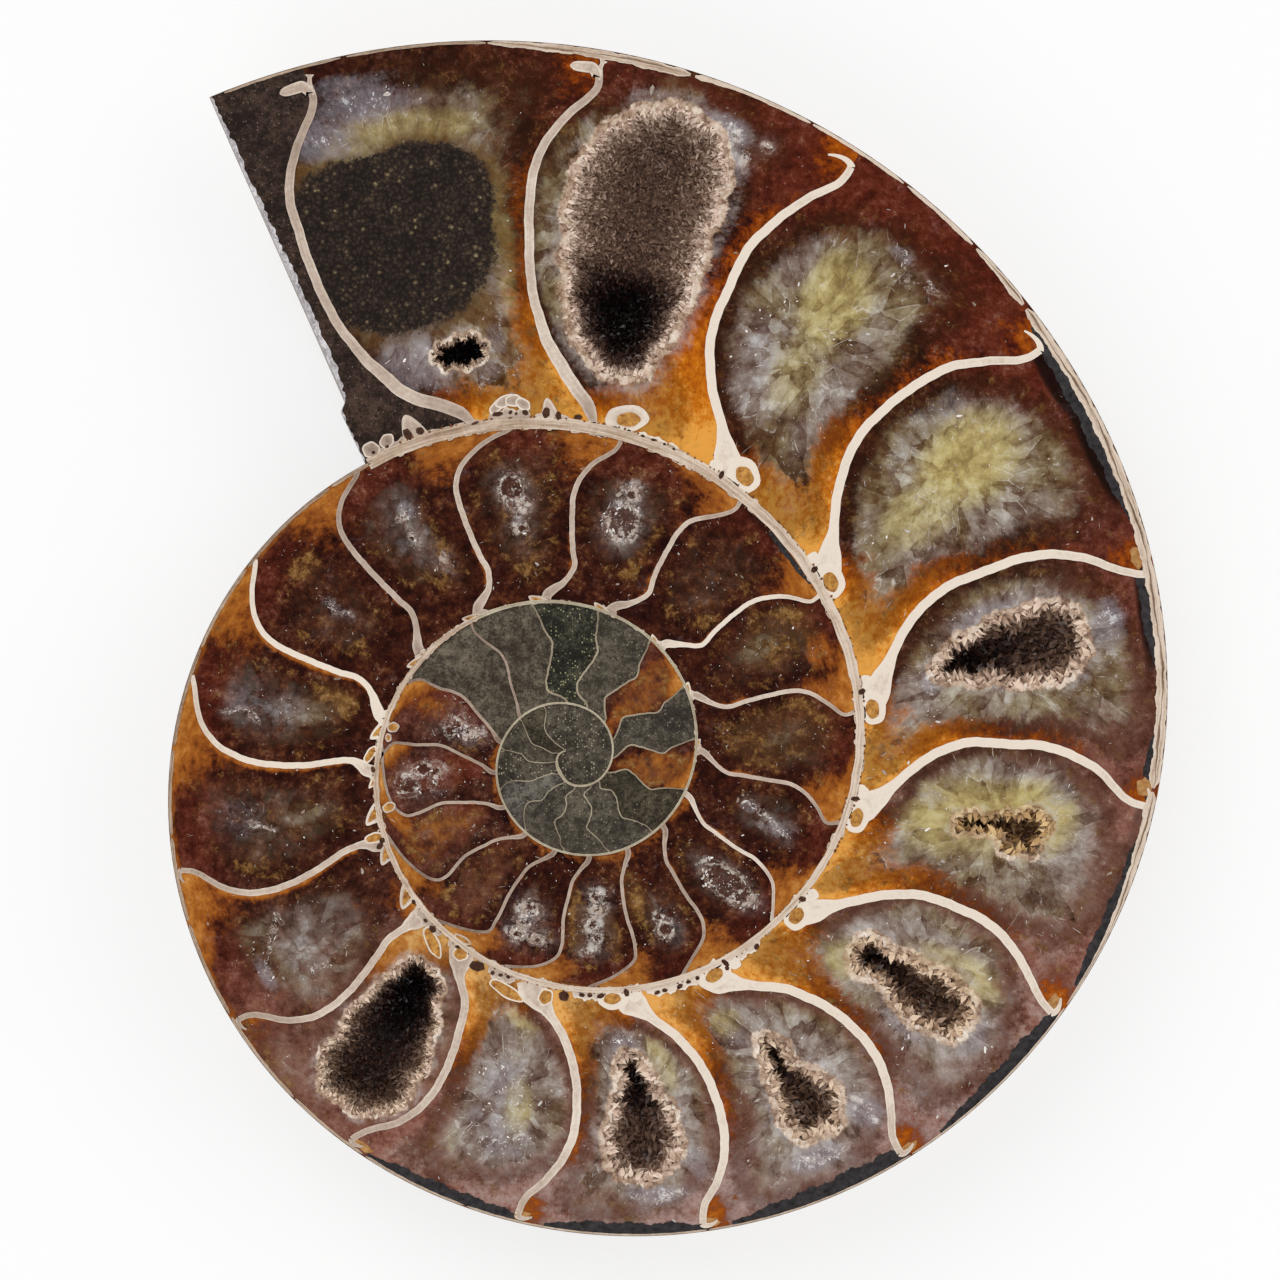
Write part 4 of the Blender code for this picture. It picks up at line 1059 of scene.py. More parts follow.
def chamber_attributes(chamber, u, height, older, newer, rim_distance=None):
    """Growth of the calcite at each point of a chamber: u runs from its older to its newer septum."""
    turn = between(older, newer, u, height)
    spots = spot_weights(chamber, turn, height)
    first, last, low, high, grey = CORES.get(chamber, DEFAULT_CORE)
    middle, centre_height = (first + last) / 2, (low + high) / 2
    across, up = np.abs(u - middle) * 2 / (last - first), np.abs(height - centre_height) * 2 / (high - low)
    core = (across**CORE_SQUARENESS + up**CORE_SQUARENESS) ** (1 / CORE_SQUARENESS)
    amber = np.maximum(amber_weight(turn, u, height), spots["amber"])
    red = smooth((height - 0.55) / 0.35) * np.interp(turn, RED_TURNS, REDNESS)
    red = np.maximum(red, spots["red"])
    pale = np.interp(turn, PALE_TURNS, PALENESS) * (0.75 + 0.5 * smooth((height - 0.2) / 0.6))
    cored = np.maximum(grey, spots["grey"])
    mellow = np.interp(turn, MILKY_TURNS, MILKINESS)
    edge_gold = EDGE_GOLD * smooth((height - 0.90) / 0.06) * (0.4 + 0.6 * mellow)
    edge_gold *= (turn > EDGE_GOLD_TURNS[0]) & (turn < EDGE_GOLD_TURNS[1])
    gold = np.maximum(spots["gold"], edge_gold)
    if rim_distance is None:
        rim_distance = np.full_like(turn, FAR_FROM_RIM)
    x, y = whorl_place(turn, height)
    heart_x, heart_y = whorl_place(between(older, newer, middle, centre_height), centre_height)
    dx, dy = x - heart_x, y - heart_y
    heart = 0.45 * float(np.median(np.hypot(dx, dy))) + 0.6
    distance = np.sqrt(dx**2 + dy**2 + heart**2)
    spread = 0.55 * float(np.median(distance)) + 2.0
    shift = 17.3 * chamber
    return {
        "growth": np.stack([core, amber, red, rim_distance], axis=1),
        "spots": np.stack([spots["white"], spots["yellow"], spots["blue"], gold], axis=1),
        "mellow": mellow,
        "hollow": hollow_distance(chamber, x, y),
        "fill": np.stack([spots["sand"], spots["dark"], pale, cored], axis=1),
        "fibre": np.stack([dx / distance * spread + shift, dy / distance * spread, distance], axis=1),
        "flow": np.stack([np.radians(turn) * wall(turn), height * (wall(turn) - wall(turn - WHORL)),
                          np.full_like(turn, shift)], axis=1),
    }


# Columns and rows of the flat meshes that fill the chambers
OUTER_GRID, INNER_GRID, MATRIX_GRID, HEART_GRID, END_GRID = (44, 64), (30, 40), (16, 16), (60, 8), (24, 160)
FIRST_COARSE_CHAMBER = 16


def add_plain_chamber(chamber, older, newer, material, grid):
    """A chamber that is filled from wall to wall."""
    columns, rows = grid
    u, height = np.meshgrid(np.linspace(0, 1, columns), np.linspace(0, 1, rows))
    u, height = u.ravel(), height.ravel()
    x, y = whorl_place(between(older, newer, u, height), height)
    points = np.stack([x, y, np.full_like(x, LEVEL_FILL)], axis=1)
    attributes = chamber_attributes(chamber, u, height, older, newer)
    faces = grid_faces(rows, columns, flip=True)
    return add_piece(f"chamber_{chamber:02d}", points, faces, material, attributes)


def closed_curve(xs, ys, count):
    """Points evenly spaced along a smooth closed curve through the given ones."""
    n = len(xs)
    wrapped = np.arange(-3, n + 4)
    at, up = smooth_curve(wrapped, xs[wrapped % n]), smooth_curve(wrapped, ys[wrapped % n])
    t = np.linspace(0, n, 1200)
    x, y = at(t), up(t)
    along = travelled(x, y)
    even = np.linspace(0, along[-1], count, endpoint=False)
    t = np.interp(even, along, t)
    return at(t), up(t)


def jagged(count, spacing, length, size, random):
    """A saw-toothed offset around a closed outline."""
    steps = 2 * max(8, int(length / spacing))
    marks = np.sort((np.arange(steps) + random.uniform(-0.35, 0.35, steps)) / steps)
    heights = np.where(np.arange(steps) % 2 == 0, 1.0, -1.0) * random.uniform(0.25, 1.0, steps) * size
    at = np.arange(count) / count
    marks = np.concatenate([[marks[-1] - 1], marks, [marks[0] + 1]])
    heights = np.concatenate([[heights[-1]], heights, [heights[0]]])
    return np.interp(at, marks, heights)


RIM_POINTS = 300
GLINT_GROUPS = {"outer_glints": range(1, 13), "middle_glints": range(13, 31)}   # chambers of each
GLINT_TRIES = {"outer_glints": (1500, 1.0), "middle_glints": (1000, 0.85)}      # tries, length factor
DUST_GLINTS = 0.13   # chance of a chip in the clear calcite
CRACKED_CHAMBERS = (3, 4, 5, 6, 7, 8, 9, 10)
CRACK_GROUPS = 10
SEAM_CHIPS_PER_MM = 4
CHIPS_PER_MM = 9    # chips round a hollow, for each mm of its half sizes
BOWL_RINGS = 16
GLINT_ROOM, CRACK_ROOM = 1.3, 2.0   # how far glints and cracks stay from a pocket's rim, in mm
FACE_GRID, FACE_MARGIN = (62, 84), 0.012   # the mesh round a pocket, and its distance from the walls
RIM_DROOP, DROOP_REACH = 0.22, 0.25        # in mm: how far the face dips at the rim, and how soon
SPINE = 0.55         # half length of the line that a bowl narrows down to, as a share of the pocket's
RIM_ROW = 3.2        # how closely the rim crystals stand
SAW_TOOTH = 0.62     # size of the teeth round a pocket's rim, in mm
RIM_TOOTH = 0.95     # size of a pocket's rim crystals, as a share of those below
FINE_RIM_TOOTH = 1.6 # the same where the crystals below are small


def inside_outline(x, y, outline_x, outline_y):
    """Which points lie inside a closed outline."""
    inside = np.zeros(len(x), bool)
    for ax, ay, bx, by in zip(outline_x, outline_y, np.roll(outline_x, -1), np.roll(outline_y, -1)):
        crosses = (ay > y) != (by > y)
        at = ax + (bx - ax) * (y - ay) / (by - ay + 1e-12)
        inside ^= crosses & (x < at)
    return inside


def chamber_outline(older, newer):
    """Closed outline of a chamber, in mm."""
    along = np.linspace(0, 1, 70, endpoint=False)
    u = np.concatenate([0 * along, along, 0 * along + 1, 1 - along])
    height = np.concatenate([along, 0 * along + 1, 1 - along, 0 * along])
    return whorl_place(between(older, newer, u, height), height)


def add_pocket_chamber(chamber, older, newer, material):
    """A chamber whose middle stands open: the face around the hole, its bowl and its crystals."""
    outline, band, depth, size, count = POCKETS[chamber]
    random = np.random.default_rng(SEEDS["pockets"] + chamber)
    turns, heights = np.array(outline).T
    x, y = whorl_place(turns, heights)
    x, y = closed_curve(x, y, RIM_POINTS)
    if np.sum(x * np.roll(y, -1) - y * np.roll(x, -1)) < 0:
        x, y = x[::-1], y[::-1]
    length = travelled(x, y)[-1]
    nx, ny = np.gradient(y), -np.gradient(x)
    scale = np.hypot(nx, ny)
    saw = jagged(RIM_POINTS, SAW_TOOTH * 1.5, length, SAW_TOOTH * 0.42, random)
    saw += jagged(RIM_POINTS, SAW_TOOTH * 6.0, length, SAW_TOOTH * 0.6, random)
    x, y = x + nx / scale * saw, y + ny / scale * saw

    # The face: a fine mesh between the chamber's walls and the rim
    edge_x, edge_y = chamber_outline(older, newer)
    u, height = np.meshgrid(*(np.linspace(FACE_MARGIN, 1 - FACE_MARGIN, count) for count in FACE_GRID))
    u, height = u.ravel(), height.ravel()
    grid_x, grid_y = whorl_place(between(older, newer, u, height), height)
    free = ~inside_outline(grid_x, grid_y, x, y)
    grid_x, grid_y = grid_x[free], grid_y[free]
    all_x, all_y = np.concatenate([x, edge_x, grid_x]), np.concatenate([y, edge_y, grid_y])
    loops = [(i, (i + 1) % RIM_POINTS) for i in range(RIM_POINTS)]
    n = len(edge_x)
    loops += [(RIM_POINTS + i, RIM_POINTS + (i + 1) % n) for i in range(n)]
    flat = [Vector((float(a), float(b))) for a, b in zip(all_x, all_y)]
    made, _, triangles, _, _, _ = delaunay_2d_cdt(flat, loops, [], 0, 1e-6)
    made = np.array([tuple(point) for point in made])
    triangles = np.array([face for face in triangles if len(face) == 3])
    middles = made[triangles].mean(axis=1)
    keep = inside_outline(middles[:, 0], middles[:, 1], edge_x, edge_y)
    keep &= ~inside_outline(middles[:, 0], middles[:, 1], x, y)
    triangles = triangles[keep]
    a, b, c = made[triangles[:, 0]], made[triangles[:, 1]], made[triangles[:, 2]]
    upward = (b[:, 0] - a[:, 0]) * (c[:, 1] - a[:, 1]) - (b[:, 1] - a[:, 1]) * (c[:, 0] - a[:, 0]) > 0
    triangles[~upward] = triangles[~upward][:, ::-1]
    u, height = whorl_coordinates(made[:, 0], made[:, 1], older, newer)
    from_rim = distance_to(made, np.stack([x, y], axis=1))
    u, height = np.clip(u, 0, 1), np.clip(height, 0, 1)
    attributes = chamber_attributes(chamber, u, height, older, newer, from_rim / band)
    points = np.column_stack([made, np.full(len(made), LEVEL_FILL)])
    points[:, 2] -= RIM_DROOP * np.exp(-from_rim / DROOP_REACH) * random.uniform(0, 1, len(points))
    add_piece(f"chamber_{chamber:02d}", points, triangles.tolist(), material, attributes)

    add_bowl(chamber, x, y, depth, size, count, random)


def distance_to(points, outline):
    """Distance in mm from each point to the nearest point of an outline."""
    nearest = np.full(len(points), np.inf)
    for corner in outline:
        nearest = np.minimum(nearest, np.hypot(points[:, 0] - corner[0], points[:, 1] - corner[1]))
    return nearest


def whorl_coordinates(x, y, older, newer):
    """u and height of points inside a chamber, from where they lie on the face."""
    angle = np.degrees(np.arctan2(y, x))
    turn = angle + WHORL * np.round((older(0.5) + 10 - angle) / WHORL)
    radius = np.hypot(x, y)
    inner = wall(turn - WHORL)
    height = (radius - inner) / (wall(turn) - inner)
    u = (turn - older(height)) / (newer(height) - older(height))
    return u, height


def add_bowl(chamber, x, y, depth, size, count, random):
    """The hollow under a pocket's counter-clockwise rim, lined with small crystals that point inwards, with
    painted shade that darkens them with depth.
    """
    middle = np.array([x.mean(), y.mean()])
    rim = np.stack([x, y], axis=1) - middle
    longest = np.linalg.eigh(rim.T @ rim)[1][:, 1]
    axis = longest * np.sign(longest @ middle)
    reach = np.abs(rim @ axis).max()
    spine = np.clip(rim @ axis, -SPINE * reach, SPINE * reach)[:, None] * axis
    inward = (np.linspace(0, 1, BOWL_RINGS) ** 1.5)[:, None]
    low_shade, high_shade, dark_end, dark_fade, warmth = POCKET_SHADE[chamber]
    profile = (1 - (1 - inward) ** 2.2) ** 0.75
    rough = random.uniform(-1, 1, (BOWL_RINGS, len(x))) * size * 0.25 * np.minimum(1, inward * 6)
    bowl_x = rim[:, 0] + (spine[:, 0] - rim[:, 0]) * inward + middle[0]
    bowl_y = rim[:, 1] + (spine[:, 1] - rim[:, 1]) * inward + middle[1]
    outward_share = 0.5 + 0.5 * ((bowl_x - middle[0]) * axis[0] + (bowl_y - middle[1]) * axis[1]) / reach
    # Painted shade: the bowl and its crystals are painted darker towards the pocket's dark end and deeper
    # down; that end is also dug deeper
    shade = low_shade + (high_shade - low_shade) * smooth((outward_share - dark_end) / dark_fade)
    deep = depth * (0.35 + 0.65 * shade / max(low_shade, high_shade))
    bowl_z = LEVEL_BOWL - (deep * profile + rough)
    painted_shade = shade * (0.10 + 0.90 * profile)
    points = np.stack([bowl_x, bowl_y, bowl_z], axis=2)
    faces = grid_faces(BOWL_RINGS, len(x), closed=True)
    add_piece(f"pocket_{chamber:02d}", points.reshape(-1, 3), faces, POCKET_WALL,
              {"depth": painted_shade.ravel()})

    # Places for crystals, even over the bowl's area
    across = np.roll(points, -1, axis=1) - points
    down = np.diff(points, axis=0)
    normal = np.cross(across[:-1], down)
    area = np.linalg.norm(normal, axis=2)
    normal = normal / (area[..., None] + 1e-9)
    chance = (area / area.sum()).ravel()
    picks = random.choice(len(chance), size=count, p=chance)
    ring, place = np.divmod(picks, len(x))
    a, b = random.uniform(0, 1, (2, count))
    base = points[ring, place] + across[ring, place] * a[:, None] + down[ring, place] * b[:, None]
    heading = normal[ring, place] * np.sign((normal[ring, place][:, 2]))[:, None]
    add_crystals(f"crystals_{chamber:02d}", base, heading, painted_shade[ring, place], size, warmth, random)

    # A row of teeth below the rim, pointing over the hole
    teeth = int(np.sum(np.hypot(*np.diff(rim, axis=0).T)) / size * RIM_ROW)
    place = (np.arange(teeth) * len(x) // teeth) % len(x)
    inwards = spine - rim
    inwards = inwards / (np.linalg.norm(inwards, axis=1)[:, None] + 1e-9)
    sunk = random.uniform(0.1, 1.3, teeth) * size
    base = np.stack([x[place], y[place], LEVEL_RIM_ROW - sunk], axis=1)
    base[:, :2] -= inwards[place] * size * 0.30
    heading = np.concatenate([inwards[place], random.uniform(-0.5, 0.15, (teeth, 1))], axis=1)
    # Painted shade: rim teeth that sit lower are painted darker
    rim_painted_shade = 0.12 + 0.34 * sunk / size * shade[0, place]
    rim_size = size * (FINE_RIM_TOOTH if size < 0.5 else RIM_TOOTH)
    add_crystals(f"rim_crystals_{chamber:02d}", base, heading, rim_painted_shade, rim_size, warmth, random)


def add_crystals(name, base, heading, depth, size, warmth, random):
    """Short three-sided spikes on a three-sided stem, each with its own tint."""
    count = len(base)
    heading = heading + random.normal(0, 0.30, heading.shape)
    heading /= np.linalg.norm(heading, axis=1)[:, None]
    side = np.cross(heading, random.normal(0, 1, heading.shape))
    side /= np.linalg.norm(side, axis=1)[:, None]
    other = np.cross(heading, side)
    length = size * random.uniform(0.6, 1.4, count)[:, None]
    width = length * random.uniform(0.22, 0.40, count)[:, None]
    corners = []
    for share, spread in ((-0.25, 0.8), (0.30, 1.0)):
        for k in range(3):
            turn = 2 * math.pi * k / 3 + (math.pi / 3 if share > 0 else 0)
            corners.append(base + heading * length * share
                           + (side * math.cos(turn) + other * math.sin(turn)) * width * spread)
    corners.append(base + heading * length)
    points = np.stack(corners, axis=1)
    points[:, :, 2] = np.minimum(points[:, :, 2], LEVEL_CRYSTAL)
    faces = []
    for i in range(count):
        a = 7 * i
        for k in range(3):
            j = (k + 1) % 3
            faces.append((a + k, a + j, a + 3 + k))
            faces.append((a + j, a + 3 + j, a + 3 + k))
            faces.append((a + 3 + k, a + 3 + j, a + 6))
    tint = np.repeat(random.uniform(0, 1, count), 7)
    # depth carries painted shade, painted a little lighter towards each crystal's tip, which stands out
    # towards the light
    painted_shade = np.repeat(depth, 7) - np.tile([0, 0, 0, 0.05, 0.05, 0.05, 0.14], count)
    add_piece(name, points.reshape(-1, 3), faces, CRYSTALS,
              {"tint": tint, "depth": painted_shade, "warmth": np.full(len(tint), warmth)}, flat=True)


def flake(shapes, x, y, heading, length, width, level, tone, random):
    """An angular chip of crystal with uneven corners."""
    corners = 6
    angles = (np.arange(corners) + random.uniform(-0.35, 0.35, corners)) * 2 * math.pi / corners
    reach = random.uniform(0.55, 1.0, corners) / 2
    along, across = np.cos(angles) * reach * length, np.sin(angles) * reach * width
    shapes.blob(*turned(x, y, along, across, heading), level, tone)


def crack(shapes, x, y, heading, length, width, level, tone, random):
    """A thin bent line, pointed at both ends."""
    steps = max(4, int(length / 0.28))
    bends = np.cumsum(random.normal(0, 0.12, steps))
    xs = x + np.cumsum(np.cos(heading + bends)) * length / steps
    ys = y + np.cumsum(np.sin(heading + bends)) * length / steps
    taper = np.sin(np.linspace(0.12, math.pi - 0.12, steps)) * random.uniform(0.6, 1.3, steps)
    shapes.strip(xs, ys, width / 2 * taper, width / 2 * taper, level, tone)


def near_pocket(chamber, x, y, room):
    """Which points lie over a chamber's open pocket, or closer to it than some room in mm."""
    if chamber not in POCKETS:
        return np.zeros(len(x), bool)
    corners = np.stack(whorl_place(*np.array(POCKETS[chamber][0]).T), axis=1)
    after = np.roll(corners, -1, axis=0)
    outline = np.concatenate([corners + (after - corners) * share for share in (0.0, 0.25, 0.5, 0.75)])
    return inside_outline(x, y, *corners.T) | (distance_to(np.stack([x, y], axis=1), outline) <= room)


def add_cracks(septa):
    """Bent lines where crystals meet, in loose groups across each core."""
    random = np.random.default_rng(SEEDS["cracks"])
    shapes = Shapes()
    for chamber in CRACKED_CHAMBERS:
        older, newer = septa[chamber], septa[chamber - 1]
        first, last, low, high, _ = CORES[chamber]
        middle, centre = (first + last) / 2, (low + high) / 2
        heart = whorl_place(between(older, newer, middle, centre), centre)
        for _ in range(CRACK_GROUPS):
            u = middle + random.uniform(-0.5, 0.5) * (last - first) * 0.9
            height = centre + random.uniform(-0.5, 0.5) * (high - low) * 0.9
            x, y = whorl_place(between(older, newer, u, height), height)
            outwards = math.atan2(y - heart[1], x - heart[0])
            for _ in range(random.integers(1, 5)):
                at_x, at_y = x + random.normal(0, 0.9), y + random.normal(0, 0.9)
                if near_pocket(chamber, np.array([at_x]), np.array([at_y]), CRACK_ROOM)[0]:
                    continue
                length = min(3.2, float(random.lognormal(0.0, 0.5)))
                crack(shapes, at_x, at_y, outwards + random.normal(0, 0.4), length,
                      random.uniform(0.04, 0.09), LEVEL_CRACK, random.uniform(0.2, 0.6), random)
    shapes.finish("crystal_seams", GLINTS, "calcite")


def add_glints(septa):
    """Slivers and chips of calcite that catch the light: most are dim, the bright ones in white places."""
    random = np.random.default_rng(SEEDS["glints"])
    for group, chambers in GLINT_GROUPS.items():
        shapes = Shapes()
        for chamber in chambers:
            older, newer = septa[chamber], septa[chamber - 1]
            first, last, low, high, grey = CORES.get(chamber, DEFAULT_CORE)
            tries, longer = GLINT_TRIES[group]
            u, height = random.uniform(0.03, 0.97, tries), random.uniform(0.04, 0.95, tries)
            turn = between(older, newer, u, height)
            spots = spot_weights(chamber, turn, height)
            across = (u - (first + last) / 2) * 2 / (last - first)
            up = (height - (low + high) / 2) * 2 / (high - low)
            core = np.hypot(across, up)
            in_core = grey * smooth((1.25 - core) / 0.5)
            x, y = whorl_place(turn, height)
            clumped = smooth((np.sin(x * 1.3 + chamber) * np.sin(y * 1.1) + np.sin(x * 0.7 - y * 0.9)) / 1.2)
            chance = (DUST_GLINTS + 0.22 * in_core) * (0.15 + clumped)
            chance += 0.55 * spots["white"] + 0.03 * spots["gold"]
            chance *= 1 - smooth(spots["sand"] / 0.5)
            kept = random.uniform(0, 1, tries) < chance
            kept &= ~near_pocket(chamber, x, y, GLINT_ROOM)
            heart = whorl_place(between(older, newer, (first + last) / 2, 0.5), (low + high) / 2)
            for i in np.flatnonzero(kept):
                outwards = math.atan2(y[i] - heart[1], x[i] - heart[0])
                heading = outwards + random.normal(0, 1.1)
                bright = 0.26 + 0.22 * in_core[i] + 0.60 * random.uniform() ** 2.2 + 0.45 * spots["white"][i]
                length = min(1.2, float(random.lognormal(-1.55, 0.60))) * longer
                width = random.uniform(0.035, 0.08) + 0.35 * (random.uniform() < 0.25) * length
                flake(shapes, x[i], y[i], heading, length, width, LEVEL_GLINT, min(1.0, bright), random)
        shapes.finish(group, GLINTS, "calcite")


def add_vugs():
    """Small hollows ringed by white crystals, and seams of them, made of many small chips."""
    random = np.random.default_rng(SEEDS["vugs"])
    chips = Shapes()
    for _, turn, height, along, outwards, thickness in VUGS:
        cx, cy = whorl_place(turn, height)
        heading = math.radians(turn + 90)
        count = int((along + outwards) * CHIPS_PER_MM * thickness)
        for _ in range(count):
            place = random.uniform(0, 2 * math.pi)
            stray = 1.0 + random.normal(0, 0.13) + (0.45 * random.uniform() if random.uniform() < 0.2 else 0)
            stray *= 1 + 0.14 * math.sin(place * 3 + turn)
            a, b = along * math.cos(place) * stray, outwards * math.sin(place) * stray
            x, y = turned(cx, cy, a, b, heading)
            around = heading + math.atan2(outwards * math.cos(place), -along * math.sin(place))
            length = random.uniform(0.15, 0.58) * (0.7 + 0.3 * thickness)
            width = random.uniform(0.06, 0.24) * (0.6 + 0.5 * thickness)
            flake(chips, x, y, around + random.normal(0, 0.6), length, width, LEVEL_CHIP,
                  random.uniform(0.30, 1.0), random)
    for _, places in SEAMS:
        x, y = seam_line(places)
        heading = math.atan2(y[-1] - y[0], x[-1] - x[0])
        for _ in range(int(travelled(x, y)[-1] * SEAM_CHIPS_PER_MM)):
            i = random.integers(0, SEAM_POINTS)
            flake(chips, *turned(x[i], y[i], 0, random.normal(0, 0.16), heading),
                  heading + random.normal(0.3, 0.7), random.uniform(0.15, 0.7), random.uniform(0.04, 0.13),
                  LEVEL_CHIP, random.uniform(0.4, 0.95), random)
    chips.finish("vug_crystals", GLINTS, "calcite")


def first_septum(height):
    """The straight start of the coil."""
    return np.full_like(np.asarray(height, float), FIRST_TURN)


def add_chambers(septa):
    """What fills each chamber, from the mouth in to the first one."""
    for chamber in range(1, len(septa)):
        older, newer = septa[chamber], septa[chamber - 1]
        if chamber in POCKETS:
            add_pocket_chamber(chamber, older, newer, CALCITE)
        elif chamber in MATRIX_CHAMBERS or chamber > max(MATRIX_CHAMBERS):
            mix = MATRIX_CHAMBERS.get(chamber, INNER_MATRIX)
            add_plain_chamber(chamber, older, newer, MATRIX[mix], MATRIX_GRID)
        else:
            grid = OUTER_GRID if chamber < FIRST_COARSE_CHAMBER else INNER_GRID
            add_plain_chamber(chamber, older, newer, CALCITE, grid)
    add_plain_chamber(len(septa), first_septum, septa[-1], MATRIX[INNER_MATRIX], HEART_GRID)
    disc = Shapes()
    disc.blob(*polar(wall(FIRST_TURN) + 0.03, np.degrees(circle(24))), LEVEL_FIRST_CHAMBER)
    disc.finish("first_chamber", MATRIX[INNER_MATRIX], "matrix")


def block_end(height):
    """Turn where the last, sediment-filled block stops: sawn, with a broken foot."""
    return cut_turn(height) + MATRIX_BLOCK_BULGE * smooth((BULGE_TOP - np.asarray(height, float)) / 0.03)


def polished_end(height):
    """Turn where the polish stops, a little short of the saw cut."""
    height = np.asarray(height, float)
    radius = wall(MOUTH_TURN - WHORL) + (wall(MOUTH_TURN) - wall(MOUTH_TURN - WHORL)) * height
    chips = np.random.default_rng(SEEDS["sawn_edge"]).uniform(-1, 1, EDGE_CHIPS)
    chipped = 0.17 * np.interp(height, np.linspace(0, 1, EDGE_CHIPS), chips)
    width = np.interp(height, (0.0, 0.17, 0.25, 0.6, 1.0), (0.05, 0.15, 0.55, 0.48, 0.24)) + chipped
    return block_end(height) - np.degrees(np.maximum(width, 0.05) / radius)


def add_end_block(newest):
    """The sediment-filled block at the mouth, and the chipped edge of its saw cut."""
    add_plain_chamber(0, newest, polished_end, MATRIX["dark_matrix"], END_GRID)
    height = np.linspace(0, 1, EDGE_POINTS)
    rows = []
    for share, depth in ((0.0, LEVEL_FILL), (0.5, LEVEL_SAWN_MIDDLE), (1.0, -SAWN_EDGE_DEPTH)):
        x, y = whorl_place(between(polished_end, block_end, share, height), height)
        rows.append(np.stack([x, y, np.full_like(x, depth)], axis=1))
    faces = grid_faces(len(rows), len(height))
    add_piece("sawn_edge", np.concatenate(rows), faces, MATRIX["sawn_edge"])


# ---- building: shell lines -----------------------------------------------------------------------
def septum_half_width(chamber, turn, height):
    """Half width of a septum, in mm: wider towards its foot, thinner in the early whorls."""
    turns = (560, 700, 830, 860, 1000, 1075, 1100, 1200, 1290, 1340, 1400)
    widths = (0.042, 0.06, 0.09, 0.13, 0.15, 0.18, 0.20, 0.26, 0.30, 0.38, 0.43)
    base = float(np.interp(turn, turns, widths))
    thin_tip = 1 - 0.22 * smooth((height - 0.6) / 0.4)
    if chamber < 2:
        slim_foot = 1 - 0.45 * smooth((0.05 - height) / 0.05)
        return (base * thin_tip + 0.16 * smooth((0.34 - height) / 0.2)) * slim_foot
    turns = (830, 850, 1060, 1100, 1220, 1290, 1320, 1340, 1360)
    flare = float(np.interp(turn, turns, (0.0, 0.08, 0.10, 0.16, 0.24, 0.34, 0.75, 0.85, 0.92)))
    tip_flare = 0.07 * smooth((height - 0.93) / 0.05) * (turn < 1200)
    return base * thin_tip + flare * smooth((0.15 - height) / 0.11) ** 1.4 + tip_flare


# How bright each septum is, from the mouth inwards
SEPTUM_TONES = (
    0.44, 0.54, 0.85, 0.85, 0.85, 0.85, 0.8, 0.76, 0.76, 0.64, 0.52, 0.52, 0.52, 0.78, 0.9, 0.38, 0.48,
    0.44, 0.48, 0.78, 0.52, 0.44, 0.62, 0.34, 0.35, 0.33, 0.26, 0.3, 0.35, 0.28, 0.25, 0.25,
)
EARLY_TONE = 0.40
TIP_DULLING = 0.16   # how much a septum darkens towards its tip
FOOT_DULLING = 0.14  # and towards its foot


def septum_tone(turn):
    """Brightness of the shell of the septa near a turn."""
    turns = [row[0] for row in SEPTA[:len(SEPTUM_TONES)]]
    return float(np.interp(turn, turns[::-1], SEPTUM_TONES[::-1]))


TEE_TIPS = (0, 1)          # septa whose tip forks at the outer wall
HOOKED_TIPS = (2, 3)       # septa whose tip bends back
LOW_HOOKS = range(4, 13)   # septa whose tip bends back just under the rim
HOOK_REACH, LOW_HOOK_REACH = 2.3, 1.8       # how far a hook reaches, in degrees
HIGH_TOP, MIDDLE_TOP, LOW_TOP = 0.985, 0.968, 0.945   # how high a septum's ribbon runs


def add_septa(septa):
    """Every septum is a pale ribbon from wall to wall, or to its tip near the mouth."""
    groups = {"outer_septa": Shapes(), "middle_septa": Shapes(), "inner_septa": Shapes()}
    for chamber, septum in enumerate(septa):
        turn = float(septum(0.5))
        top = MIDDLE_TOP if chamber in LOW_HOOKS else HIGH_TOP
        if chamber in TEE_TIPS + HOOKED_TIPS:
            top = LOW_TOP
        height = np.linspace(0.0, top, 90 if turn > 1100 else 50)
        x, y = whorl_place(septum(height), height)
        group = "outer_septa" if turn > 1200 else ("middle_septa" if turn > 840 else "inner_septa")
        wobble = 0.05 * np.sin(height * 60 + chamber) + 0.04 * np.sin(height * 143 + chamber * 2)
        half = septum_half_width(chamber, turn, height)
        tone = SEPTUM_TONES[chamber] if chamber < len(SEPTUM_TONES) else EARLY_TONE
        if chamber >= len(SEPTUM_TONES):
            wobble = wobble * 4
        shapes = groups[group]
        tones = tone - TIP_DULLING * smooth((height - 0.6) / 0.3)
        tones = tones - FOOT_DULLING * smooth((0.12 - height) / 0.10)
        shapes.strip(x, y, half * (1 + wobble), half * (1 - wobble), LEVEL_SEPTUM, tones)
        if chamber in TEE_TIPS:
            add_tee(shapes, float(septum(top)), top, tone)
        elif chamber in HOOKED_TIPS:
            add_hook(shapes, float(septum(top)), top, float(half[-1]), HOOK_REACH, tone)
        elif chamber in LOW_HOOKS:
            add_hook(shapes, float(septum(top)), top, float(half[-1]), LOW_HOOK_REACH, tone - TIP_DULLING)
    for name, shapes in groups.items():
        material = INNER_SHELL if name == "inner_septa" else SHELL
        shapes.finish(name, material, "shell")


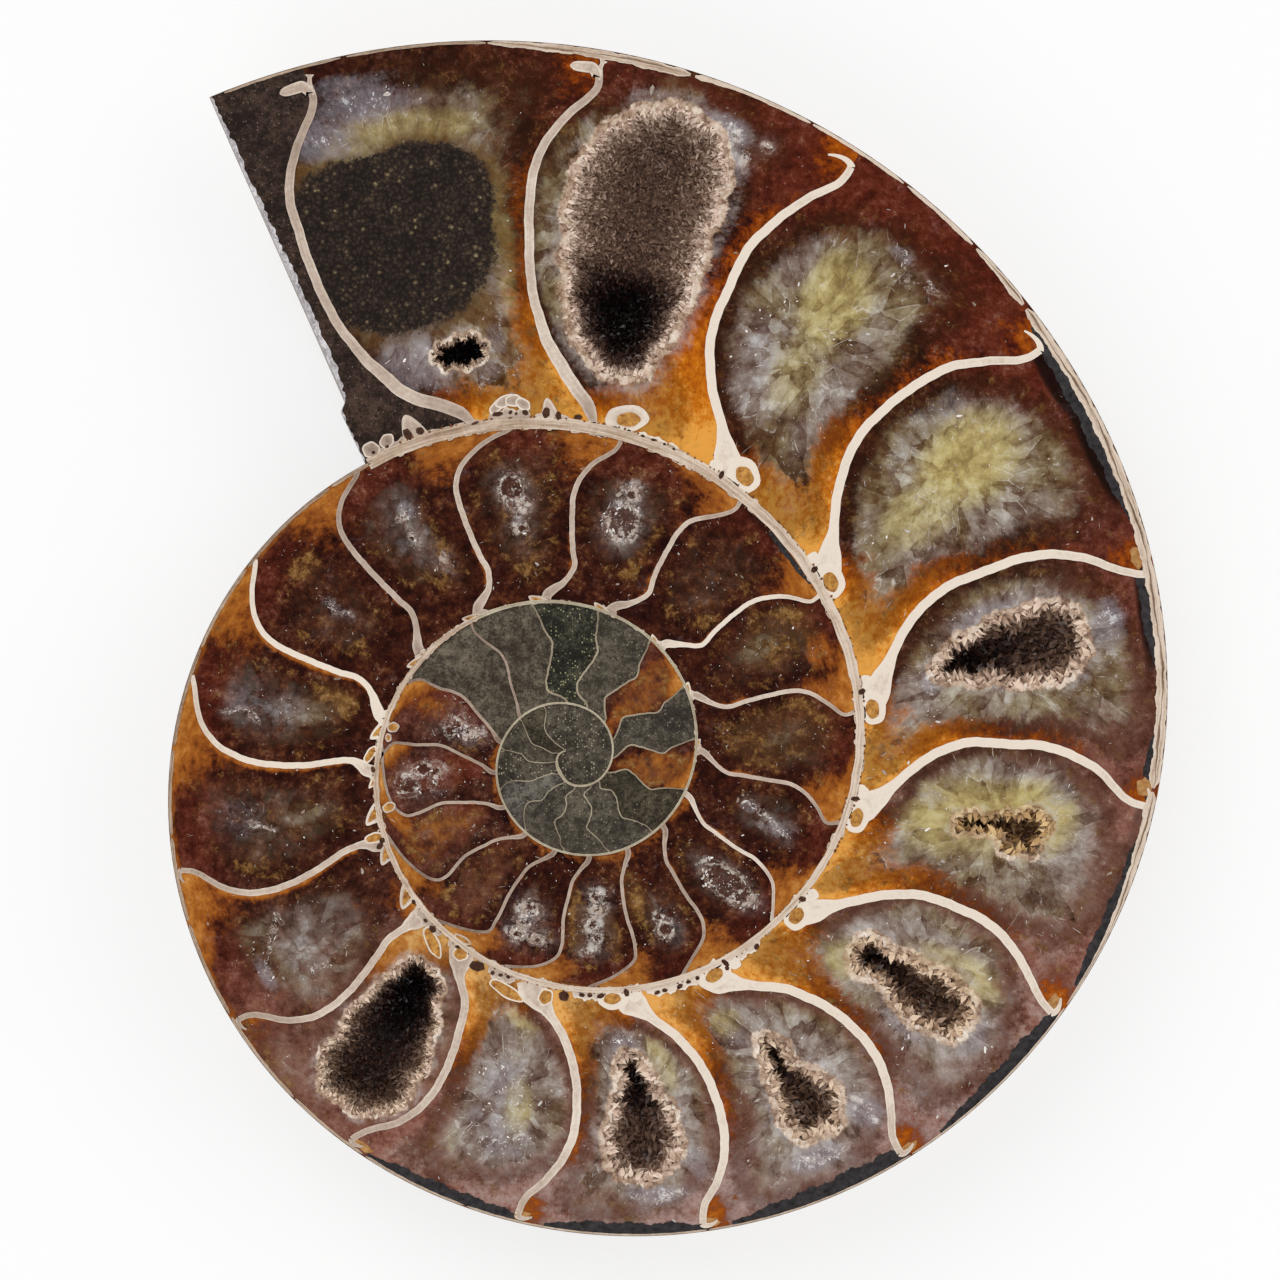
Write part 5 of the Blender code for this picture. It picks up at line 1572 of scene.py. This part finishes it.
def add_tee(shapes, turn, height, tone):
    """A rounded arm that lies back along the outer wall, and a thin neck up to the wall."""
    share = np.linspace(0, 1, 22)
    x, y = whorl_place(turn + 0.15 - 0.25 * np.sin(share * math.pi) + 2.25 * share**1.5,
                       height - 0.020 + 0.026 * smooth(share / 0.5) - 0.004 * share)
    blunt = np.sqrt(np.clip(1 - ((share - 0.84) / 0.16).clip(0, 1) ** 2, 0.02, 1))
    half = (0.40 + 0.12 * np.sin(share * math.pi)) * blunt
    shapes.strip(x, y, half, half, LEVEL_SEPTUM + TIP_LIFT, tone)
    x, y = whorl_place(turn + 0.1 - 0.45 * share, height - 0.012 + (HIGH_TOP - height) * share)
    half = 0.34 - 0.18 * np.sin(share * math.pi * 0.5) + 0.22 * smooth((share - 0.75) / 0.25)
    shapes.strip(x, y, half, half, LEVEL_SEPTUM + NECK_LIFT, tone)


def add_hook(shapes, turn, height, half, reach, tone):
    """A sharp bend back, thinning to a point."""
    share = np.linspace(0, 1, 14)
    x, y = whorl_place(turn - 0.32 * np.sin(share * math.pi) * (1 - share) + reach * share**1.15,
                       height + 0.012 * np.sin(share * math.pi) - 0.004 * share)
    width = half * np.clip(1.05 - 0.8 * share, 0.12, 1)
    shapes.strip(x, y, width, width, LEVEL_SEPTUM + TIP_LIFT, tone)


def wall_half_width(turn):
    """Half width of the coiled wall, in mm."""
    turns = (105, 190, 235, 280, 330, 640, 760, 830, 860, 1000, 1060, 1110, 1240, 1560)
    widths = (0.05, 0.10, 0.15, 0.10, 0.085, 0.09, 0.12, 0.15, 0.22, 0.25, 0.30, 0.46, 0.52, 0.52)
    return np.interp(turn, turns, widths)


# Width of the shell left on the outside, in mm, and its brightness, at these turns
RIM_TURNS = (
    1203, 1240, 1296, 1322, 1345, 1385, 1412, 1420, 1430, 1440, 1470, 1484, 1490, 1500, 1516, 1522, 1532,
    1538, 1558,
)
RIM_WIDTHS = (
    0.3, 0.26, 0.3, 0.22, 0.16, 0.14, 0.15, 0.3, 0.78, 1, 1, 0.85, 0.45, 0.3, 0.32, 0.85, 0.75, 0.24,
    0.22,
)
RIM_TONES = (
    0.3, 0.28, 0.34, 0.45, 0.5, 0.55, 0.6, 0.65, 0.7, 0.7, 0.72, 0.75, 0.8, 0.85, 0.8, 0.55, 0.6, 0.4,
    0.35,
)
RIM_GAPS = (
    1211, 1229, 1243, 1258, 1271, 1283, 1297, 1311, 1322.5, 1337, 1366.5, 1391, 1413.5, 1437, 1484.6,
    1491.5, 1499.5, 1509, 1519.5, 1536.5, 1547.5,
)


RIM_INSET = 0.04    # room between the rim shell and the outline of the solid model


def add_rim():
    """What is left of the shell outside: broken into lengths, in two layers where it is thick."""
    random = np.random.default_rng(SEEDS["rim"])
    rim, layer = Shapes(), Shapes()
    ends = (1203.3,) + RIM_GAPS + (1557.4,)
    for first, last in zip(ends, ends[1:]):
        gap = random.uniform(0.05, 0.5)
        at = np.linspace(first + gap, last - gap * 0.3, max(6, int((last - first) * 4)))
        width = np.interp(at, RIM_TURNS, RIM_WIDTHS)
        ragged = 1 + 0.10 * np.sin(at * 1.7) + 0.09 * np.sin(at * 4.1 + first) + 0.07 * np.sin(at * 9.3)
        taper = np.sqrt(np.clip(np.minimum(at - at[0], at[-1] - at) / 0.8, 0.12, 1))
        half = width * ragged * taper / 2
        middle = wall(at) - RIM_INSET - width / 2 * (1 + 0.06 * np.sin(at * 2.9))
        tone = float(np.interp(at.mean(), RIM_TURNS, RIM_TONES)) + random.uniform(-0.06, 0.06)
        rim.strip(*polar(middle, at), half, np.minimum(half, width / 2), LEVEL_WALL, tone)
        if width.mean() > 0.5:
            core = half * 0.22 * (0.6 + 0.4 * np.sin(at * 0.9 + first)) * taper
            radius = middle + half * 0.25 * np.sin(at * 0.5)
            layer.strip(*polar(radius, at), core, core, LEVEL_WALL + LAYER_LIFT, 0.12)
    rim.finish("rim_shell", WALL_SHELL, "shell")
    layer.finish("rim_layers", WALL_SHELL, "shell")


# How bright the coiled wall is at these turns
COIL_TURNS = (842, 880, 960, 1050, 1120, 1204)
COIL_TONES = (0.50, 0.52, 0.62, 0.70, 0.62, 0.50)


def add_walls():
    """The coiled wall between the whorls, in fine layers."""
    parts = (("first_wall", 105, 480, 300), ("inner_wall", 480, 842, 260), ("middle_wall", 842, 1204, 520))
    for name, first, last, count in parts:
        shapes = Shapes()
        turn = np.linspace(first, last, count)
        half = wall_half_width(turn)
        scallops = 0.16 * np.abs(np.sin(turn * 0.83 + np.sin(turn * 0.31))) ** 2 + 0.06 * np.sin(turn * 0.27)
        ripple = 0.06 * np.sin(turn * 0.9) + 0.08 * np.abs(np.sin(turn * 0.47 + 1)) ** 3
        shapes.strip(*polar(wall(turn) - half * 0.3, turn), half * (1 + ripple), half * (1 + scallops),
                     LEVEL_WALL, np.interp(turn, COIL_TURNS, COIL_TONES))
        shapes.finish(name, INNER_SHELL if last < 850 else WALL_SHELL, "shell")


def tooth(turn, height, half, lean, points=20):
    """Outline of a pointed dome that stands on the inner wall, its sizes in mm."""
    share = np.linspace(-1, 1, points)
    rise = height * (1 - np.abs(share) ** TOOTH_ROUNDNESS)
    along = share * half + lean * (rise / height) ** 1.6
    base = wall(turn - WHORL)
    radius = base - 0.1 + rise
    angle = math.radians(turn) + along / (base + rise)
    return radius * np.cos(angle), radius * np.sin(angle)


def add_feet():
    """Mounds, teeth, loops and lobes of shell along the inner wall, the calcite seen in their holes, and the
    painted shade of small holes beside them.
    """
    pads, holes, ambers = Shapes(), Shapes(), Shapes()
    for first, last, height in FOOT_MOUNDS:
        turn = np.linspace(first, last, 26)
        low = np.clip(np.minimum(turn - first, last - turn) / (last - first) * 4, 0, 1)
        waves = 1 + 0.14 * np.sin(turn * 2.2) + 0.08 * np.sin(turn * 5.1)
        rise = height * np.sqrt(low * (2 - low)) * waves
        pads.strip(*polar(wall(turn - WHORL), turn), 0.1, np.maximum(rise, 0.05), LEVEL_SEPTUM + MOUND_LIFT,
                   septum_tone((first + last) / 2) - 0.12)
    for turn, height, half, lean, amber in FOOT_TEETH:
        pads.blob(*tooth(turn, height, half, lean), LEVEL_SEPTUM + LOBE_LIFT, septum_tone(turn) - 0.04)
        if amber:
            core = tooth(turn, height * (0.3 + amber), half * 0.52, lean * 0.8)
            ambers.blob(*core, LEVEL_SEPTUM + TOOTH_CORE_LIFT, AMBER_TONE)
    for order, (turn, height, along, outwards, tilt) in enumerate(FOOT_LOBES):
        level, tone = LEVEL_SEPTUM + LOBE_STEP * (order % 4), septum_tone(turn)
        pads.blob(*oval(turn, height, along, outwards, tilt, wobble=0.08), level + LOBE_LIFT, tone + 0.08)
        core = oval(turn, height, along - LOBE_SKIN, outwards - LOBE_SKIN, tilt, wobble=0.08)
        if turn > SOLID_LOBES_FROM:
            pads.blob(*core, level + LOBE_CORE_LIFT, tone - 0.25)
        else:
            ambers.blob(*core, level + LOBE_CORE_LIFT, AMBER_TONE)
    for turn, height, along, outwards, tilt in FOOT_RINGS:
        tone = septum_tone(turn + 12)
        pads.blob(*oval(turn, height, along, outwards, tilt, wobble=0.05), LEVEL_SEPTUM + RING_LIFT, tone)
        core = oval(turn - 0.3, height - 0.002, along * 0.55, outwards * 0.52, tilt, wobble=0.05)
        ambers.blob(*core, LEVEL_SEPTUM + RING_CORE_LIFT, AMBER_TONE)
        if turn < WEBS_BEFORE:
            web = oval(turn + WEB_AHEAD, 0.018, 0.60, 0.90, 18, wobble=0.08)
            pads.blob(*web, LEVEL_SEPTUM + LOBE_CORE_LIFT, tone)
            # A small hole beside the web, a dark inlay painted as its shade
            hole = oval(turn + WEB_HOLE_AHEAD, 0.010, 0.24, 0.40, 18, wobble=0.14, points=12)
            holes.blob(*hole, LEVEL_SEPTUM + HOLE_LIFT, HOLE_TONE)
    # Each hole is a dark inlay: painted shade where the hole is
    for turn, height, along, outwards in FOOT_HOLES:
        hole = oval(turn, height, along, outwards, 0, wobble=0.12, points=12)
        holes.blob(*hole, LEVEL_SEPTUM + HOLE_LIFT, HOLE_TONE)
    pads.finish("foot_shell", SHELL, "shell")
    holes.finish("foot_holes", INLAY["pore"], "calcite")
    ambers.finish("ring_calcite", INLAY["amber"], "calcite")


# Beads and pores along the coiled wall: first and last turn, spacing in degrees, size in mm
BEAD_RUNS = ((720, 842, 3.0, 0.10), (842, 1060, 1.3, 0.15), (1060, 1200, 0.85, 0.20))


def add_beads():
    """Low scallops of shell along both sides of the coiled wall, with small pores beside it."""
    random = np.random.default_rng(SEEDS["beads"])
    beads, pores = Shapes(), Shapes()
    for first, last, spacing, size in BEAD_RUNS:
        turn = first
        while turn < last:
            for side in (-1, 1):
                if random.uniform() < (0.25 if side > 0 else 0.5):
                    continue
                pore = random.uniform() < 0.62
                along = size * random.uniform(0.30, 0.62) if pore else size * random.uniform(1.0, 2.6)
                out = size * random.uniform(0.25, 0.68) if pore else size * random.uniform(0.5, 1.0)
                at = turn + random.uniform(-0.4, 0.4) * spacing
                stand = random.uniform(0.5, 1.3) if pore else 0.1
                radius = wall(at) - wall_half_width(at) * 0.3 + side * (wall_half_width(at) + out * stand)
                a, b = along * np.cos(circle(12)), out * np.sin(circle(12))
                outline = turned(0, 0, radius + b, a, math.radians(at))
                level = LEVEL_WALL + (PORE_LIFT if pore else BEAD_LIFT)
                (pores if pore else beads).blob(*outline, level, random.uniform(0.25, 0.6))
            turn += spacing
    beads.finish("wall_beads", WALL_SHELL, "shell")
    pores.finish("wall_pores", INLAY["amber_pore"], "calcite")


def add_bands():
    """The slate-coloured bands under the outer edge, and the tan blocks at the septa's tips."""
    slate, blocks = Shapes(), Shapes()
    for first, last, thickness, peak, inset in SLATE_BANDS + (INNER_SLATE,):
        turn = np.linspace(first, last, int((last - first) * 4) + 4)
        share = (turn - first) / (last - first)
        stops = (0, peak * 0.4, peak, peak + (1 - peak) * 0.7, 1)
        bulge = np.interp(share, stops, (0.25, 0.80, 1, 0.85, 0.30))
        waves = 1 + 0.10 * np.sin(turn * 1.3 + first) + 0.07 * np.sin(turn * 3.7) + 0.05 * np.sin(turn * 9.1)
        slate.strip(*polar(wall(turn) - inset, turn), thickness * bulge * waves, 0.01, LEVEL_BAND, 0.5)
    for first, last, low, high in TIP_BLOCKS:
        gap = float(wall(first) - wall(first - WHORL))
        along = math.radians(last - first) * float(wall(first)) / 2
        middle, outwards = ((first + last) / 2, (low + high) / 2), gap * (high - low) / 2
        blocks.blob(*oval(*middle, along, outwards, points=11, wobble=0.22), LEVEL_BAND + BLOCK_LIFT, 0.5)
    slate.finish("slate_bands", INLAY["slate"], "matrix")
    blocks.finish("tip_blocks", INLAY["tan_calcite"], "calcite")


# ---- building: the natural back ------------------------------------------------------------------
SEAM, SHOULDER, CREST = 0.22, 0.30, 0.47   # shares of the wall's radius, as in the solid model
SHOULDER_HEIGHT = 0.94       # of the thickness at the crest
OGIVE = 1.8                  # roundness of the flank between its crest and the rim
EVEN_FROM_TURN = 1345.0      # turn from which the crest keeps the full thickness
YOUNG_THICKNESS = 0.64       # share of it where the last whorl begins
FLANK_STEP = 1.5             # degrees between the flank's cross lines
INNER_LINES, OUTER_LINES = 15, 34   # lines along the flank inside its crest and outside
MOUTH_GRID = (40, 26)
RIB_DEPTH, RIBS, RIB_SWEEP = 0.35, 13, 40   # depth in mm, ribs in a whorl, how far they lean
SEAM_TUCK, SEAM_TUCK_DEPTH = 0.985, 0.05   # the seam tucks in under the next crest
SEAM_OVERLAP = 0.02
SETTLING_ROUNDS = 6          # a cross line's place and radius depend on each other
COVERED_TURN = MOUTH_TURN - WHORL
INNERMOST_TURN = MOUTH_TURN - 3 * WHORL


def crest_thickness(turn):
    """Thickness of the half at the crest of its flank, in mm."""
    young = YOUNG_THICKNESS * wall(turn) / wall(COVERED_TURN)
    share = (turn - COVERED_TURN) / (EVEN_FROM_TURN - COVERED_TURN)
    grown = YOUNG_THICKNESS + (1 - YOUNG_THICKNESS) * smooth(share)
    return THICKNESS * np.where(turn <= COVERED_TURN, young, grown)


def flank_points(turn, share):
    """Points of the flank where lines parallel to the mouth's cut cross it."""
    radius = share * wall(turn)
    smallest = SEAM * wall(MOUTH_TURN)
    for _ in range(SETTLING_ROUNDS):
        place = turn + np.degrees(np.arcsin(CUT_MISSES_CENTRE_BY / np.maximum(radius, smallest)))
        radius = share * wall(place)
    below = 1 - (1 - SHOULDER_HEIGHT) * ((CREST - share) / (CREST - SHOULDER)) ** 2
    out = np.clip((share - CREST) / (1 - CREST), 0, 1)
    above = (1 - out**OGIVE) ** (1 / OGIVE)
    height = crest_thickness(turn) * np.where(share <= CREST, below, above)
    seam_height = crest_thickness(np.maximum(turn - WHORL, INNERMOST_TURN))
    up = smooth((share - SEAM) / (SHOULDER - SEAM))
    height = np.where(share < SHOULDER,
                      seam_height + up * (crest_thickness(turn) * SHOULDER_HEIGHT - seam_height), height)
    ribs = 0.5 + 0.5 * np.cos(np.radians(turn * RIBS - RIB_SWEEP * (share - SEAM)))
    ribs = RIB_DEPTH * ribs**2 * smooth((share - 0.3) / 0.1) * smooth((0.99 - share) / 0.2)
    ribs *= wall(turn) / wall(MOUTH_TURN)
    return np.stack([*polar(radius, place), -(height - ribs)], axis=-1)


def slant(points, inset=0.0):
    """Moves points along the last whorl onto the mouth's cut, which slants in below the face."""
    shift = -points[..., 2] * CUT_LEAN - inset
    heading = math.radians(MOUTH_TURN + 90)
    points[..., 0] += math.cos(heading) * shift
    points[..., 1] += math.sin(heading) * shift


def add_flank():
    """The natural flank: the middle of every whorl, and the outer part of the last."""
    inner_shares = SEAM + (CREST - SEAM) * np.linspace(0, 1, INNER_LINES)
    outer_shares = CREST + (1 - CREST) * np.sin(np.linspace(0, 1, OUTER_LINES) * math.pi / 2)
    turns = np.arange(INNERMOST_TURN, MOUTH_TURN + 0.01, FLANK_STEP)
    last_whorl = turns[turns >= COVERED_TURN - 0.01]
    parts = (("flank_middle", inner_shares, turns), ("flank_outer", outer_shares, last_whorl))
    for name, shares, span in parts:
        turn, share = np.meshgrid(span, shares, indexing="ij")
        points = flank_points(turn, share)
        points[..., 2] = np.minimum(points[..., 2], TOP)
        if name == "flank_middle":
            close_seam(points)
        else:
            slant(points[0])
        slant(points[-1])
        faces = grid_faces(len(span), len(shares))
        growth_line = np.stack([turn * 0.5, share * 30, turn * 0], axis=-1).reshape(-1, 3)
        piece = add_piece(name, points.reshape(-1, 3), faces, FLANK, {"growth_line": growth_line})
        if name == "flank_middle":
            add_middle_cap(points)
    return piece


def close_seam(points):
    """Draws the seam of each whorl in to the crest of the whorl inside it, where a gap would show."""
    lap = round(WHORL / FLANK_STEP)
    seam, crest = points[lap:, 0], points[:-lap, -1]
    gap = np.hypot(seam[:, 0], seam[:, 1]) - np.hypot(crest[:, 0], crest[:, 1])
    tucked = crest * (SEAM_TUCK, SEAM_TUCK, 1) + (0, 0, SEAM_TUCK_DEPTH)
    seam[gap > -SEAM_OVERLAP] = tucked[gap > -SEAM_OVERLAP]


def add_middle_cap(points):
    """The small hollow heart of the umbilicus, closed with a cone."""
    steps = round(WHORL / FLANK_STEP)
    ring = [points[i, 0] for i in range(steps)]
    ring += [points[0, j] for j in range(points.shape[1] - 1, 0, -1)]
    apex = (0, 0, min(point[2] for point in ring))
    faces = [(0, i + 1, (i + 1) % len(ring) + 1)[::-1] for i in range(len(ring))]
    placed = np.array([apex] + [tuple(point) for point in ring])
    add_piece("umbilicus", placed, faces, FLANK, {"growth_line": placed * 0.5})


def add_mouth_end():
    """The sawn end of the last whorl, from its flank in to the whorl that it covers."""
    rows, columns = MOUTH_GRID
    outer = flank_points(np.full(rows, MOUTH_TURN), np.linspace(1.0, SEAM, rows))
    inner = flank_points(np.full(rows, COVERED_TURN), np.linspace(1.0, CREST, rows))
    mix = np.linspace(0, 1, columns)[:, None, None]
    points = outer[None] + (inner[None] - outer[None]) * mix
    points[..., 2] = np.minimum(points[..., 2], -SAWN_EDGE_DEPTH)
    slant(points, SAWN_END_INSET)
    add_piece("sawn_mouth", points.reshape(-1, 3), grid_faces(columns, rows), MATRIX["sawn_end"])


# ---- materials, stage and assembly ---------------------------------------------------------------
CALCITE = calcite_material()
# Sediment: its dark and pale shades and its specks, how many specks, how rough and how glossy
MATRIX_MIXES = {
    "pale_matrix": ((70, 65, 57), (100, 95, 86), (146, 142, 132), 0.4),
    "inner_matrix": ((56, 50, 42), (82, 75, 64), (172, 164, 138), 1.0),
    "green_matrix": ((64, 58, 48), (90, 82, 70), (146, 142, 116), 0.6),
    "grey_matrix": ((60, 54, 46), (86, 79, 68), (150, 142, 120), 0.6),
    "brown_matrix": ((66, 58, 48), (96, 88, 74), (34, 28, 24), 0.7),
    "umber_matrix": ((50, 44, 34), (76, 68, 54), (140, 126, 96), 0.4),
    "speckled_matrix": ((36, 35, 28), (64, 62, 50), (176, 172, 130), 1.0),
    "dark_matrix": ((38, 26, 20), (63, 47, 39), (120, 104, 92), 0.45, 0.45, 0.12),
    "sawn_end": ((150, 148, 148), (196, 194, 194), (110, 100, 92), 0.5, 0.6),
    "sawn_edge": ((176, 170, 172), (206, 202, 204), (150, 140, 132), 0.3, 0.6),
}
# Small inlays: their dark and pale shades; pore is the painted shade of small holes at the septa's feet
INLAY_SHADES = {
    "pore": ((34, 18, 12), (84, 48, 28)), "amber": ((112, 56, 14), (214, 158, 78)),
    "amber_pore": ((64, 30, 14), (150, 92, 44)), "tan_calcite": ((138, 86, 38), (190, 146, 92)),
    "slate": ((16, 11, 11), (60, 56, 58)),
}
MATRIX = {name: matrix_material(name, *mix) for name, mix in MATRIX_MIXES.items()}
INLAY = {name: inlay_material(name, *shades) for name, shades in INLAY_SHADES.items()}
SHELL = shell_material("septum_shell", (226, 212, 196), (186, 166, 150), (120, 98, 84), 0.35)
WALL_SHELL = shell_material("wall_shell", (214, 196, 178), (176, 152, 130), (104, 78, 58), 1.3)
INNER_SHELL = shell_material("inner_shell", (206, 196, 172), (158, 144, 122), (96, 84, 68), 0.5)
CRYSTALS = crystal_material()
GLINTS = glint_material()
POCKET_WALL = pocket_material()
FLANK = flank_material()


FLOOR_HALF_SIZE = 1.2    # metres
CAMERA_PLACE = (-0.00255, -0.000145, CENTRE[2] + 0.3259)
CAMERA_LENS = 100.0
FLOOR_GLOW = 0.7         # share of the floor's look that is plain white
# The room is bright at its sides and dark overhead, where its direction's height is near 1
SKY = {"From Min": 0.55, "From Max": 0.92, "To Min": 0.85, "To Max": 0.15}
SUN_WIDTH = 40           # degrees, for soft shadows
# Lamps: azimuth and height in degrees, strength
LAMPS = {"key": (120, 52, 1.0), "fill": (20, 50, 0.62), "back": (250, 50, 0.55)}


def add_stage():
    """The floor that the fossil lies on."""
    mesh = bpy.data.meshes.new("floor")
    half = FLOOR_HALF_SIZE
    corners = [(-half, -half, 0), (half, -half, 0), (half, half, 0), (-half, half, 0)]
    mesh.from_pydata(corners, [], [(0, 1, 2, 3)])
    floor = bpy.data.objects.new("floor", mesh)
    bpy.context.scene.collection.objects.link(floor)
    mesh.materials.append(floor_material())


def add_camera():
    """Straight above the polished face."""
    data = bpy.data.cameras.new("camera")
    data.lens = CAMERA_LENS
    data.sensor_width = 36.0
    camera = bpy.data.objects.new("camera", data)
    camera.location = CAMERA_PLACE
    bpy.context.scene.collection.objects.link(camera)
    bpy.context.scene.camera = camera


def add_lights():
    """A bright room, and three broad lamps."""
    scene = bpy.context.scene
    world = bpy.data.worlds.new("studio")
    world.use_nodes = True
    nodes, links = world.node_tree.nodes, world.node_tree.links
    direction = nodes.new("ShaderNodeTexCoord")
    split = nodes.new("ShaderNodeSeparateXYZ")
    links.new(direction.outputs["Generated"], split.inputs[0])
    sky = nodes.new("ShaderNodeMapRange")
    sky.interpolation_type = "SMOOTHSTEP"
    for socket, value in SKY.items():
        sky.inputs[socket].default_value = value
    links.new(split.outputs["Z"], sky.inputs["Value"])
    nodes["Background"].inputs["Color"].default_value = (1.0, 1.0, 1.0, 1.0)
    links.new(sky.outputs["Result"], nodes["Background"].inputs["Strength"])
    scene.world = world
    for name, (azimuth, elevation, strength) in LAMPS.items():
        data = bpy.data.lights.new(name, "SUN")
        data.energy = strength
        data.angle = math.radians(SUN_WIDTH)
        lamp = bpy.data.objects.new(name, data)
        lamp.rotation_euler = (math.radians(90 - elevation), 0, math.radians(azimuth + 90))
        scene.collection.objects.link(lamp)


def main():
    septa = [septum_curve(row) for row in SEPTA]
    add_chambers(septa)
    add_end_block(septa[0])
    add_glints(septa)
    add_cracks(septa)
    add_vugs()
    add_septa(septa)
    add_walls()
    add_rim()
    add_feet()
    add_beads()
    add_bands()
    add_mouth_end()
    flank = add_flank()
    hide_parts("ammonite_half")
    add_stage()
    add_camera()
    add_lights()
    scene = bpy.context.scene
    scene.view_settings.view_transform = "Standard"


main()
